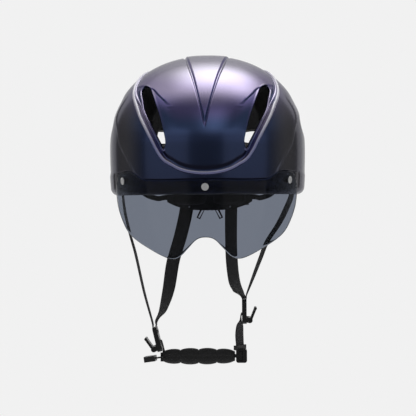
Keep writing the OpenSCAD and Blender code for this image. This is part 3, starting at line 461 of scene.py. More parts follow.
def two_faces(outer: WindowGrid, inner: WindowGrid, pole: bool) -> tuple[Sheet, Rims, Rims]:
    """Makes both faces of a wall in one sheet, with the inner one turned over.

    Args:
        outer: The outer face.
        inner: The inner face.
        pole: Whether to close their tops.

    Returns:
        The sheet, and the loops of the outer and the inner face.
    """
    sheet, back = Sheet(), Sheet()
    front, behind = outer.build(sheet), inner.build(back)
    if pole:
        sheet.cap(front.top, first=True)
        back.cap(behind.top, first=True)
    behind = behind.shifted(len(sheet.points))
    return sheet.joined(back.turned_over()), front, behind


def rolled_edge(edge: Array, outside: Array, radius: float, depth: float, steps: int = 6) -> list[Array]:
    """Rings that roll an opening's edge inwards: a quarter circle, then a straight wall.

    Args:
        edge: Points round the opening.
        outside: The ring of points just outside them.
        radius: Radius of the rolled edge.
        depth: Length of the straight wall after it.
        steps: Rings along the quarter circle.

    Returns:
        The rings after the edge itself.
    """
    along = unit(np.roll(edge, -1, 0) - np.roll(edge, 1, 0))
    inwards = edge - outside
    inwards = unit(inwards - along * (inwards * along).sum(-1, keepdims=True))
    out = np.cross(along, inwards)
    out = out * np.sign((out * (edge - HELMET_MIDDLE)).sum())
    turn = np.radians(np.linspace(0, 90, steps + 1)[1:])[:, None, None]
    rolled = edge + radius * (np.sin(turn) * inwards - (1 - np.cos(turn)) * out)
    return [*rolled, rolled[-1] - depth * out]


@dataclass(frozen=True)
class HelmetSkin:
    """Outer skin of the helmet before any relief, in millimetres.

    Azimuth th runs in degrees from the front (-Y) towards +X. Place s runs down the skin: 0 at the
    crown, 1 at the widest section, and 1 more for each drop of height below that. Place w has whole
    numbers at lines of the shell: 0 at the crown, 1 at the bead round the crown panel, 2 at the ledge
    above the visor and 3 at the hem.
    """

    width: float = 215
    front_reach: float = 138
    rear_reach: float = 150
    crown_h: float = 151
    waist_h: float = 50
    hem_r: float = 8.5
    front_n: float = 1.9
    side_n: float = 2.15
    rear_n: float = 2.35
    plan_n: float = 2.2
    drop: float = 150
    side_tuck: float = 250
    rear_tuck: float = 105
    crown_shift: float = 10
    recess: float = 3.4
    soft: float = 0.12       # rounds off the flat spots that the plan's exponent leaves on its axes
    waist_blend: float = 14  # heights over which the profiles above and below the waist run together
    blend_top: tuple = (95, 30)  # that blend fades out over so much, up to this height
    blend_shares: tuple = ((-1, 0.1), (-0.5, 0.2), (0, 0.4), (0.5, 0.2), (1, 0.1))
    rim_line: tuple = ((0, -2), (60, -2), (100, -1), (135, 5), (160, 14), (180, 17))  # azimuth, height
    bead_line: tuple = (  # azimuth, place s
        (0, 1.215), (7.1, 1.205), (12.5, 1.184), (16.8, 1.155), (21.4, 1.119), (25.1, 1.062), (28.8, 0.986),
        (32.7, 0.918), (37.8, 0.844), (44.7, 0.752), (56.4, 0.64), (69, 0.515), (79, 0.44), (90, 0.39),
        (120, 0.41), (150, 0.55), (165, 0.7), (180, 0.78))
    ledge_line: tuple = (  # azimuth, height
        (0, 14), (34, 14.5), (42, 21), (50, 23), (57, 22.2), (66, 22), (90, 24), (180, 32))
    ledge_end: tuple = (64.5, 67)  # azimuths between which the recess below the ledge fades out

    def rim_z(self, th: Array) -> Array:
        """Height of the rim."""
        return curve(self.rim_line, folded(th))

    def profile_n(self, th: Array) -> Array:
        """Exponent of the profile above the waist."""
        c = cosd(th)
        return self.side_n + (np.where(c > 0, self.front_n, self.rear_n) - self.side_n) * c**2

    def height(self, th: Array, s: Array) -> Array:
        """Height of a place."""
        up = np.clip(sind(90 * (1 - s)), 0, 1)**(2 / self.profile_n(th))
        below = self.waist_h - self.drop * (s - 1)
        return np.where(s <= 1, self.waist_h + (self.crown_h - self.waist_h) * up, below)

    def breadth(self, th: Array, z: Array) -> Array:
        """Share of the widest section at height z: a superellipse above the waist, an ellipse below it."""
        n = self.profile_n(th)
        up = np.clip((z - self.waist_h) / (self.crown_h - self.waist_h), 0, 1)
        c = cosd(th)
        tuck = np.where(c > 0, self.side_tuck, self.side_tuck + (self.rear_tuck - self.side_tuck) * c**2)
        down = np.clip((self.waist_h - z) / tuck, 0, 1)
        return (1 - up**n)**(1 / n) * np.sqrt(1 - down**2)

    def point(self, th: Array, s: Array) -> Array:
        """Point of the skin at azimuth th and place s.

        Near the waist the breadth is a mean over five heights round z, which rounds off the change of
        curvature there. In plan the point moves along its ray onto |x|^n + |y|^n = 1, with both softened.

        Args:
            th: Azimuths in degrees.
            s: Places down the skin.

        Returns:
            The points, in millimetres.
        """
        th, s = np.broadcast_arrays(np.asarray(th, float), np.asarray(s, float))
        z = self.height(th, s)
        top, fade = self.blend_top
        reach = self.waist_blend * ease((top - z) / fade)
        k = sum(self.breadth(th, z + q * reach) * share for q, share in self.blend_shares)
        n, e2 = self.plan_n, self.soft**2

        def softened(c: Array) -> Array:
            """|c|^n with |c| softened near 0."""
            return (c**2 + e2)**(n / 2) - e2**(n / 2)
        x, y = power(sind(th), 2 / n), -power(cosd(th), 2 / n)
        k = k * ((softened(x) + softened(y)) / softened(1))**(-1 / n)
        back = self.crown_shift * ease((z - self.waist_h) / (self.crown_h - self.waist_h))
        reach_y = np.where(y < 0, self.front_reach, self.rear_reach)
        return np.stack([self.width / 2 * k * x, reach_y * k * y + back, z], -1)

    def normal(self, th: Array, s: Array) -> Array:
        """Outward normal of the skin."""
        down = self.point(th, s + 0.004) - self.point(th, s - 0.004)
        round_ = self.point(th + 0.4, s) - self.point(th - 0.4, s)
        return unit(np.cross(down, round_))

    def s_at(self, th: Array, z: Array) -> Array:
        """Place at height z."""
        th, z = np.broadcast_arrays(np.asarray(th, float), np.asarray(z, float))
        up = np.clip((z - self.waist_h) / (self.crown_h - self.waist_h), 0, 1)
        above = 1 - np.degrees(np.arcsin(up**(self.profile_n(th) / 2))) / 90
        return np.where(z > self.waist_h, above, 1 + (self.waist_h - z) / self.drop)

    def bead_s(self, th: Array) -> Array:
        """Place of the bead round the crown panel."""
        return curve(self.bead_line, folded(th))

    def ledge_s(self, th: Array) -> Array:
        """Place of the ledge above the visor."""
        return self.s_at(th, curve(self.ledge_line, folded(th)))

    def hem_s(self, th: Array) -> Array:
        """Place where the hem starts to turn under."""
        return self.s_at(th, self.rim_z(th) + self.hem_r)

    def s_of(self, th: Array, w: Array) -> Array:
        """Place s of a place w."""
        b, l, h = self.bead_s(th), self.ledge_s(th), self.hem_s(th)
        return np.where(w <= 1, b * w, np.where(w <= 2, b + (l - b) * (w - 1), l + (h - l) * (w - 2)))

    def w_of(self, th: Array, s: Array) -> Array:
        """Place w of a place s."""
        b, l, h = self.bead_s(th), self.ledge_s(th), self.hem_s(th)
        return np.where(s <= b, s / b, np.where(s <= l, 1 + (s - b) / (l - b), 2 + (s - l) / (h - l)))

    def across_bead(self, th: Array) -> Array:
        """Millimetres square to the bead for each unit of s."""
        s = self.bead_s(th)
        down = (self.point(th, s + 0.02) - self.point(th, s - 0.02)) / 0.04
        along = unit(self.point(th + 1, self.bead_s(th + 1)) - self.point(th - 1, self.bead_s(th - 1)))
        return np.linalg.norm(np.cross(down, along), axis=-1)

    def across_ledge(self, th: Array) -> Array:
        """Millimetres down the skin at the ledge for each unit of s."""
        s = self.ledge_s(th)
        return np.linalg.norm(self.point(th, s + 0.01) - self.point(th, s - 0.01), axis=-1) / 0.02

    def placed(self, th: Array, s: Array, relief: Array) -> Array:
        """Point of the skin, raised along its normal."""
        return self.point(th, s) + np.asarray(relief)[..., None] * self.normal(th, s)


@dataclass(frozen=True)
class ShellRelief:
    """Relief of the painted shell over the plain skin, in millimetres along its normal.

    A reach holds the four stops of a stretch: where it starts, is full, starts to end, and ends.
    """

    skin: HelmetSkin = HelmetSkin()
    bead_h: float = 1.5
    bead_w: float = 3.1
    flute_h: float = 1.1       # depth of the hollow inside the bead
    flute_reach: tuple = (2.635, 3.835, 4.2, 9.2)  # its stretch, in millimetres inside the panel's edge
    valley_d: float = 3        # depth of the valley that the front vents lie in
    valley_w: float = 2        # width of its steep side, next to the bead
    valley_reach: tuple = (12, 26, 44, 68)         # its stretch in azimuth
    valley_fall: tuple = ((0.25, 0.014), (0.75, 0.16))  # shares of its depth, and the s that each falls over
    lip_h: float = 1           # height of the rolled lip round a front vent
    lip_w: float = 1.4
    lip_r: float = 0.8         # radius of the vents' rolled edges
    lip_pieces: int = 160      # straight pieces of a lip's outline when its distance is measured
    far: float = 9             # distances from a lip are given up to this
    groove_h: float = 1.55
    groove_half: float = 2.5
    groove_reach: tuple = (10.7, 14.7, 146, 162)   # their stretch, in degrees over the crown
    panel_h: float = 1.1       # rise of the shell between the two long grooves
    ridge_h: float = 0.8       # ridge along the side creases
    ridge_w: float = 1.5       # its half width in degrees
    crease_h: float = 1.2
    crease_w: float = 2.2      # degrees over which the crease falls
    crease_fade: tuple = (80, 16)  # azimuth where the hollow behind it starts to fade, over so much
    crease_reach: tuple = (0.6, 0.7, 1.168, 1.215)  # its stretch in s
    pocket_h: float = 2.2      # depth of the pockets round the side vents
    pocket_rim: float = 9      # how far they reach round a vent
    step_w: float = 1.8        # width of the step into the visor's recess
    side_degree: float = 1.8   # millimetres for one degree of azimuth at the sides
    front_scale: tuple = (1.6, 150)  # and at the front, with those for one unit of s
    front_vent: tuple = (  # azimuth, place s
        (24.3, 0.8365), (27.35, 0.7655), (31.9, 0.6901), (35.2, 0.647), (38.6, 0.6104), (43.9, 0.5829),
        (46.65, 0.5776), (48.3, 0.5854), (48.4, 0.6108), (46.6, 0.64), (43.87, 0.6793), (39.06, 0.7569),
        (34.23, 0.822), (30.2, 0.8843), (27.3, 0.9322), (24.16, 0.9954), (22.6, 1.034), (21.6, 1.044),
        (20.8, 1.03), (20.45, 0.98), (21.9, 0.9122))
    side_vent: tuple = (106, 74, 19, 6.5)  # azimuth, height, half span in degrees, half height
    rear_vent: tuple = (150, 68, 11.5, 7)
    groove_line: tuple = (  # angle over the crown, x
        (10.7, 0), (15.9, 1.9), (21.9, 4.8), (30.6, 8.5), (42.1, 12.7), (58.8, 18), (95.5, 25.7), (130, 31),
        (150, 34))
    groove_middle: float = 40  # height that the angle over the crown is measured from
    crease_line: tuple = (  # place s, azimuth
        (0.56, 61), (0.6, 62.2), (0.695, 64.2), (0.784, 67), (0.85, 65), (0.911, 59.7), (0.989, 55.5),
        (1.064, 49.9), (1.134, 45.4), (1.191, 41.8), (1.22, 39.5))
    valley_line: tuple = (  # azimuth, place s
        (14, 0.79), (18.8, 0.747), (22.4, 0.705), (29.3, 0.651), (35.7, 0.605), (46.5, 0.571), (53.9, 0.573),
        (58.5, 0.584), (68, 0.6))

    def inside_bead(self, th: Array, s: Array) -> Array:
        """Millimetres from the crown panel's edge inwards, square to it."""
        return (self.skin.bead_s(th) - s) * self.skin.across_bead(th)

    def deep(self, th: Array, s: Array) -> Array:
        """Relief that the foam behind the shell follows too: valley, side crease, side pockets and recess."""
        return self.valley(th, s) + self.crease(th, s) + self.pocket(th, s) + self.recess(th, s)

    def valley(self, th: Array, s: Array) -> Array:
        """Valley of the front vents: a sharp step down at its line, then a long fall, up to the bead."""
        f = folded(th)
        inside = s - curve(self.valley_line, f)
        fall = sum(share * ease(inside / run) for share, run in self.valley_fall)
        start = ease((self.inside_bead(th, s) - 0.9 * self.bead_w) / self.valley_w)
        return -self.valley_d * stretch(f, *self.valley_reach) * fall * start

    def crease(self, th: Array, s: Array) -> Array:
        """Crease down the side: a ridge 3 degrees wide on its line, and a hollow that fades behind it."""
        f = folded(th)
        behind = f - curve(self.crease_line, s)
        start, over = self.crease_fade
        hollow = self.crease_h * ease(behind / self.crease_w) * (1 - ease((f - start) / over))
        return (self.ridge_h * bump(behind / self.ridge_w) - hollow) * stretch(s, *self.crease_reach)

    def pocket(self, th: Array, s: Array) -> Array:
        """Shallow oval pocket round the side vent."""
        m = self.side_vent
        across = (folded(th) - m[0]) / (m[2] + self.pocket_rim)
        upwards = (self.skin.height(th, s) - m[1]) / (m[3] + self.pocket_rim)
        return -self.pocket_h * ease((1.2 - across**2 - upwards**2) / 0.9)

    def recess(self, th: Array, s: Array) -> Array:
        """The visor's recess: a step just below the ledge, which fades out behind the lens."""
        skin = self.skin
        a, b = skin.ledge_end
        step = ease(((s - skin.ledge_s(th)) * skin.across_ledge(th) + 0.3) / self.step_w)
        return -skin.recess * (1 - ease((folded(th) - a) / (b - a))) * step

    def crown(self, th: Array, s: Array) -> Array:
        """Relief of the crown panel: half-round bead, hollow inside it, vents' lips and two long grooves.

        A groove lies where |x| is that of its line, at an angle over the crown that runs from the brow.

        Args:
            th: Azimuths in degrees.
            s: Places down the skin.

        Returns:
            Millimetres along the skin's normal.
        """
        p = self.inside_bead(th, s)
        half = self.bead_w / 2
        bead = self.bead_h * np.sqrt(1 - np.clip(np.abs((p - half) / half), 0, 1)**2)
        flute = -self.flute_h * stretch(p, *self.flute_reach)
        lip = self.lip_h * (1 - ease(self.from_vent(th, s) / self.lip_w)) * (1 - 0.65 * ease((p - 8) / 4))
        x, y, z = np.moveaxis(self.skin.point(th, s), -1, 0)
        a = np.degrees(np.arctan2(z - self.groove_middle, -y))
        side = np.abs(x) - curve(self.groove_line, a)
        ends = stretch(a, *self.groove_reach)
        wide = self.groove_half * (0.5 + 0.5 * ease((a - 12) / 50))
        groove = -self.groove_h * bump(side / wide) * ends
        panel = self.panel_h * (1 - ease((side + 3) / 4)) * ease((a - 50) / 30) * ends
        return self.deep(th, s) + bead + flute + groove + panel + lip

    def trim_and_highlight(self, th: Array, s: Array) -> Array:
        """Share of the pale strip, whose colour is a painted highlight: 1 on the bead and on the front vents'
        outer lips.
        """
        p = self.inside_bead(th, s)
        # the front vents' outer lips get the painted highlight too
        lip = (1 - ease((self.from_vent(th, s) - 0.5) / 0.7)) * (1 - ease((p - 9) / 3))
        return np.maximum(1 - ease((p - 0.9 * self.bead_w) / 0.5), lip)

    def from_vent(self, th: Array, s: Array) -> Array:
        """Millimetres from the nearest front vent's rolled lip, or far where it is further than that.

        The lip's outline is taken as straight pieces, and each place's distance is the least of its
        distances to them, measured on the skin.

        Args:
            th: Azimuths in degrees.
            s: Places down the skin.

        Returns:
            The distances.
        """
        th, s = np.broadcast_arrays(folded(th), s)
        near = (th > 14) & (th < 56) & (s > 0.4) & (s < 1.12)
        out = np.full(th.shape, float(self.far))
        places = np.linspace(0, len(self.front_vent), self.lip_pieces + 1)
        ends = self.skin.point(*self.lip_outline(places))
        a, ab = ends[:-1], np.diff(ends, axis=0)
        for part in np.array_split(np.flatnonzero(near), 8):
            ap = self.skin.point(th.flat[part], s.flat[part])[:, None] - a
            t = np.clip((ap * ab).sum(-1) / (ab * ab).sum(-1), 0, 1)
            out.flat[part] = np.minimum(np.linalg.norm(ap - t[..., None] * ab, axis=-1).min(1), self.far)
        return out

    def lip_outline(self, t: Array) -> Array:
        """Azimuths and places s of the wearer's left front vent, a lip's radius outside its opening."""
        flat = np.array(self.front_vent) * self.front_scale
        along = unit(np.roll(flat, -1, 0) - np.roll(flat, 1, 0))
        outside = flat + self.lip_r * np.stack([along[:, 1], -along[:, 0]], -1)
        return through(outside / self.front_scale, t, closed=True).T

    def oblong_outline(self, middle: Sequence[float], t: Array) -> tuple[Array, Array]:
        """Azimuths and places s of a side or rear vent, a lip's radius outside its opening.

        Args:
            middle: The vent, as side_vent gives it.
            t: Places round it from 0 to 1.

        Returns:
            Azimuths, then places s.
        """
        th, z = oval((*middle[:2], middle[2] + self.lip_r / self.side_degree, middle[3] + self.lip_r), t)
        return th, self.skin.s_at(th, z)


FRONT_CORNERS = (2.5, 6.8, 8.8, 17.6)  # places on a front vent's outline for its window's corners
OBLONG_CORNERS = (0.625, 0.875, 1.125, 1.375)  # the same on an oblong


@dataclass
class ShellPanel:
    """A moulded panel of the shell, whose inner face has a third of the outer one's rows and columns."""

    relief: ShellRelief = ShellRelief()
    thick: float = 1.8
    gap: float = 0.3        # between the panel's edge and the line of the bead
    vent_wall: float = 1.6  # depth of the wall behind a vent's rolled edge

    def closed(self, outer: WindowGrid, inner: Callable[[Array, Array], Array], pole: bool) -> Sheet:
        """Closes a panel to a solid: its edges, and a rolled edge and a wall in each vent.

        Args:
            outer: The outer face.
            inner: Surface of the inner face.
            pole: Whether the panel's top is closed, and not an edge.

        Returns:
            The panel.
        """
        coarse = WindowGrid(outer.u[::3], outer.v[::3], inner, [o.coarser() for o in outer.openings])
        sheet, front, behind = two_faces(outer, coarse, pole)
        sheet.stitch(front.bottom, behind.bottom)
        if not pole:
            sheet.stitch(front.top, behind.top, first=True)
        for loop, outside, inside in zip(front.openings, front.rings, behind.openings):
            rings = rolled_edge(sheet.points[loop], sheet.points[outside], self.relief.lip_r, self.vent_wall)
            loops = [loop, *(sheet.add(ring) for ring in rings)]
            sheet.bridge(loops)
            sheet.stitch(loops[-1], inside)
        return sheet.outwards()


@dataclass
class CrownShell(ShellPanel):
    """Central painted panel of the shell, with its two front vents.

    The grid's v runs from 0 at the crown to 1 where the edge zone starts and to 2 at the edge.
    """

    edge_zone: float = 3.6  # millimetres inside the bead's line over which rows are kept square to it

    def reach(self, th: Array) -> Array:
        """Millimetres from the crown to the bead, as if it were as steep as at the bead all the way."""
        return self.relief.skin.across_bead(th) * self.relief.skin.bead_s(th)

    def s_of(self, th: Array, v: Array) -> Array:
        """Place s of a place in the grid."""
        from_bead = lerp(self.edge_zone, self.gap, v - 1)
        share = np.where(v <= 1, v * (1 - self.edge_zone / self.reach(th)), 1 - from_bead / self.reach(th))
        return self.relief.skin.bead_s(th) * share

    def outer(self, th: Array, v: Array) -> Array:
        """Outer face."""
        s = self.s_of(th, v)
        return self.relief.skin.placed(th, s, self.relief.crown(th, s))

    def trim_and_highlight(self, th: Array, v: Array) -> Array:
        """Share of the pale strip, whose colour is a painted highlight, on the outer face."""
        return self.relief.trim_and_highlight(th, self.s_of(th, v))

    def inner(self, th: Array, v: Array) -> Array:
        """Inner face."""
        s = self.s_of(th, v)
        return self.relief.skin.placed(th, s, self.relief.deep(th, s) - self.thick)

    def vent_outline(self, t: Array) -> Array:
        """Outline of the wearer's left front vent in azimuth and v."""
        th, s = self.relief.lip_outline(t)
        at_zone = self.relief.skin.bead_s(th) * (1 - self.edge_zone / self.reach(th))
        in_zone = (self.edge_zone - self.relief.inside_bead(th, s)) / (self.edge_zone - self.gap)
        return np.stack([th, np.where(s <= at_zone, s / at_zone, 1 + in_zone)], -1)

    def build(self) -> Sheet:
        """Makes the whole panel."""
        u = azimuths((0, 12, 58, 180), (60, 92, 88))
        v = spaced((0.008, 0.27, 1, 2), (60, 90, 24))
        vent = Opening((108, 150), (66, 147), self.vent_outline, FRONT_CORNERS, len(self.relief.front_vent))
        outer = WindowGrid(u, v, self.outer, [vent, vent.mirrored(len(u))], self.trim_and_highlight)
        return self.closed(outer, self.inner, pole=True)


@dataclass
class SideShell(ShellPanel):
    """Lower painted panel of the shell, from the bead to the hem and its lip, with four vents in its sides.

    The grid's v runs from 0 at the top edge to 1 just below it, to 2 just above the visor's ledge, to 3
    just below the ledge, to 4 where the hem starts, to 5 round the hem and to 6 at the end of its lip.
    """

    edge_zone: float = 1.6   # millimetres of rows at the top edge
    edge_r: float = 0.6      # radius of the top edge
    ledge_zone: float = 1.9  # millimetres of rows above and below the ledge
    lip_w: float = 2

    def s_of(self, th: Array, v: Array) -> Array:
        """Place s of a place in the grid above the hem.

        Args:
            th: Azimuths in degrees.
            v: Places down the grid, from 0 to 4.

        Returns:
            The places down the skin.
        """
        skin = self.relief.skin
        bead, ledge = skin.bead_s(th), skin.ledge_s(th)
        across, zone = skin.across_bead(th), self.ledge_zone / skin.across_ledge(th)
        lines = (bead + self.gap / across, bead + (self.gap + self.edge_zone) / across,
                 ledge - zone, ledge + zone, skin.hem_s(th))
        knots = np.stack([line + 0 * v for line in lines])
        k = np.clip(np.floor(v).astype(int), 0, len(lines) - 2)
        low, high = (np.take_along_axis(knots, (k + step)[None], 0)[0] for step in (0, 1))
        return lerp(low, high, np.clip(v - k, 0, 1))

    def hem(self, th: Array, v: Array, offset: float) -> Array:
        """Place on the hem's quarter turn (v 4 to 5) or its lip (v 5 to 6).

        Args:
            th: Azimuths in degrees.
            v: Places down the grid.
            offset: Millimetres outwards from the outside.

        Returns:
            The points, in millimetres.
        """
        skin = self.relief.skin
        s = skin.hem_s(th)
        out = unit(skin.normal(th, s) * (1, 1, 0))
        at = skin.placed(th, s, self.relief.deep(th, s))
        at[..., 2] = skin.rim_z(th) + skin.hem_r
        turn = (90 * np.clip(v - 4, 0, 1))[..., None]
        inwards = self.lip_w * np.clip(v - 5, 0, 1)[..., None] * out
        return at - skin.hem_r * out + (skin.hem_r + offset) * (cosd(turn) * out - sind(turn) * UP) - inwards

    def face(self, offset: float, rolled: float = 1e-6) -> Callable[[Array, Array], Array]:
        """Surface of the grid.

        Args:
            offset: Millimetres outwards from the outside.
            rolled: Radius by which its top edge is rolled over.

        Returns:
            The function of azimuths and places down the grid that gives its points.
        """
        def surface(th: Array, v: Array) -> Array:
            """The wall above the hem, which falls by a quarter circle at its top edge, and the hem."""
            s = self.s_of(th, v)
            from_edge = np.clip(np.clip(v, 0, 1) * self.edge_zone / rolled, 0, 1)
            fall = rolled * (1 - np.sqrt(1 - (1 - from_edge)**2))
            wall = self.relief.skin.placed(th, s, self.relief.deep(th, s) + offset - fall)
            return np.where((v > 4)[..., None], self.hem(th, v, offset), wall)
        return surface

    def vent_outline(self, middle: Sequence[float], t: Array) -> Array:
        """Outline of a vent in azimuth and v, all between v 1 and 2."""
        th, s = self.relief.oblong_outline(middle, t)
        low, high = (self.s_of(th, np.full_like(th, v)) for v in (1, 1.9999))
        return np.stack([th, 1 + (s - low) / (high - low)], -1)

    def build(self) -> Sheet:
        """Makes the whole panel."""
        u = azimuths((0, 60, 132, 180), (90, 96, 54))
        v = spaced(range(7), (9, 48, 15, 12, 9, 3))
        vents = []
        for middle, rows, cols in ((self.relief.side_vent, (30, 48), (120, 186)),
                                   (self.relief.rear_vent, (27, 48), (192, 225))):
            vent = Opening(rows, cols, partial(self.vent_outline, middle), OBLONG_CORNERS, 1)
            vents += [vent, vent.mirrored(len(u))]
        grid = WindowGrid(u, v, self.face(0, self.edge_r), vents)
        return self.closed(grid, self.face(-self.thick), pole=False)


@dataclass(frozen=True)
class HeadRoom:
    """Inner face of the foam: turn runs in degrees from 0 at its widest to 90 at its top."""

    head_w: float = 164
    head_front: float = 100
    head_rear: float = 104
    head_h: float = 124
    waist: float = 35
    roundness: float = 2.2  # exponent of its profile
    plan_n: float = 2.2     # exponent of its plan
    channels: tuple = (14, 166)  # azimuths of the air channels
    channel_d: float = 6
    channel_reach: tuple = (8, 28, 66, 78)  # their stretch in turn
    floor_h: float = 8      # height of the wall's foot above the rim

    def channel(self, th: Array, turn: Array) -> Array:
        """Depth of the air channels that run up the roof, which fade out at their sides and ends."""
        side = np.minimum(*(np.abs(folded(th) - at) for at in self.channels))
        return self.channel_d * ease((9 - side) / 5) * stretch(turn, *self.channel_reach)

    def point(self, th: Array, turn: Array, off: Array = 0) -> Array:
        """Point of the face: superellipses in plan and profile.

        Args:
            th: Azimuths in degrees.
            turn: Angles in degrees over the roof.
            off: Millimetres that the points are moved outwards.

        Returns:
            The points, in millimetres.
        """
        th, turn, off = np.broadcast_arrays(np.asarray(th, float), np.asarray(turn, float), off)
        k = np.abs(cosd(turn))**(2 / self.roundness)
        reach = np.where(cosd(th) > 0, self.head_front, self.head_rear) + off
        x = (self.head_w / 2 + off) * k * power(sind(th), 2 / self.plan_n)
        y = -reach * k * power(cosd(th), 2 / self.plan_n)
        z = self.waist + (self.head_h + off - self.waist) * np.abs(sind(turn))**(2 / self.roundness)
        return np.stack([x, y, z], -1)

    def wall(self, th: Array, z: Array, off: Array = 0) -> Array:
        """Point of the upright wall below the widest part."""
        p = self.point(th, 0, off)
        return np.stack(np.broadcast_arrays(p[..., 0], p[..., 1], z), -1)


def room_outline(middle: Sequence[float], t: Array) -> Array:
    """Oblong outline in the head room's azimuth and turn, with squarer corners than in the shell."""
    return np.stack(oval(middle, t, 0.6), -1)


@dataclass
class FoamLiner:
    """Foam body between the shells and the head room, with a tunnel through it behind each vent.

    The outer grid's v runs from 0 at the crown to 1 at the bead, 2 at the ledge, 3 at the hem, 4 round
    the hem, 5 at the end of its lip. The room's v is turn, and below 0 it runs down the wall to -1.
    """

    relief: ShellRelief = ShellRelief()
    room: HeadRoom = HeadRoom()
    offset: float = -2.05
    lip_w: float = 4
    edge: tuple = (2, 3.5)  # rise and inset of the rounded lower edge
    rings: int = 9          # steps along a tunnel

    def outer(self, th: Array, v: Array) -> Array:
        """Face behind the shells."""
        skin = self.relief.skin
        s = skin.s_of(th, v)
        wall = skin.placed(th, s, self.relief.deep(th, s) + self.offset)
        hem = SideShell(self.relief, lip_w=self.lip_w).hem(th, v + 1, self.offset)
        return np.where((v > 3)[..., None], hem, wall)

    def inner(self, th: Array, v: Array) -> Array:
        """Face of the head room, its wall below the waist, and the rounded lower edge."""
        room, rim = self.room, self.relief.skin.rim_z(th)
        roof = room.point(th, np.clip(v, 0, 90), room.channel(th, v))
        floor = rim + room.floor_h
        t = np.clip(-v, 0, 1)
        wall = room.wall(th, lerp(room.waist, floor, ease(t * 2)), 0)
        low = room.wall(th, lerp(floor, rim + self.edge[0], 2 * t - 1), self.edge[1] * ease(2 * t - 1))
        return np.where((v >= 0)[..., None], roof, np.where((t <= 0.5)[..., None], wall, low))

    def in_w(self, outline: Callable[[Array], Sequence[Array]], t: Array) -> Array:
        """Outline in azimuth and place w, from one in azimuth and place s."""
        th, s = outline(t)
        return np.stack([th, self.relief.skin.w_of(th, s)], -1)

    def vents(self, total: int) -> tuple[list[Opening], list[Opening]]:
        """Openings of all vents, in the same order, on grids of total columns.

        Args:
            total: Columns round the helmet.

        Returns:
            The openings in the outer face, then those in the room.
        """
        relief = self.relief
        front = relief.lip_outline, FRONT_CORNERS, len(relief.front_vent)
        side, rear = ((partial(relief.oblong_outline, middle), OBLONG_CORNERS, 1)
                      for middle in (relief.side_vent, relief.rear_vent))
        outs, ins = [], []
        for (outline, *turn), rows, cols, room_rows, room_oval in (
                (front, (11, 26), (6, 33), (9, 24), (36, 22, 12, 21)),
                (side, (35, 43), (42, 73), (14, 22), (102.5, 29.5, 18.5, 14)),
                (rear, (34, 42), (75, 96), (16, 24), (145, 15, 17, 14))):
            out = Opening(rows, cols, partial(self.in_w, outline), *turn, rings=5)
            into = Opening(room_rows, cols, partial(room_outline, room_oval), OBLONG_CORNERS, 1, rings=4)
            outs += [out, out.mirrored(total)]
            ins += [into, into.mirrored(total)]
        return outs, ins

    def build(self) -> Sheet:
        """Makes the liner: both faces, a rounded edge between their feet, and the tunnels."""
        u = azimuths((0, 15, 55.5, 82.5, 130.5, 135, 166.5, 180), (6, 27, 9, 32, 2, 21, 4))
        v_out = spaced((0.02, 0.58, 0.97, 1.15, 1.36, 1.8, 1.95, 2.1, 3, 4, 5),
                       (11, 15, 2, 4, 12, 3, 5, 8, 6, 2))
        v_in = np.concatenate([[89.0, 84, 79, 73, 67, 61, 55, 50, 46], np.linspace(44.2, 0.4, 16),
                               -np.linspace(0.05, 1, 13)])
        outs, ins = self.vents(len(u))
        outer, inner = WindowGrid(u, v_out, self.outer, outs), WindowGrid(u, v_in, self.inner, ins)
        sheet, front, behind = two_faces(outer, inner, pole=True)
        low, rise = sheet.points[front.bottom], sheet.points[behind.bottom]
        bulge = [sheet.add(lerp(low, rise, t) - UP * math.sin(math.pi * t)) for t in (0.3, 0.6)]
        sheet.bridge([front.bottom, *bulge, behind.bottom])
        for start, end in zip(front.openings, behind.openings):
            a, b = sheet.points[start], sheet.points[end]
            loops = [sheet.add(lerp(a, b, k / self.rings)) for k in range(1, self.rings)]
            sheet.bridge([start, *loops, end])
        return sheet.outwards()


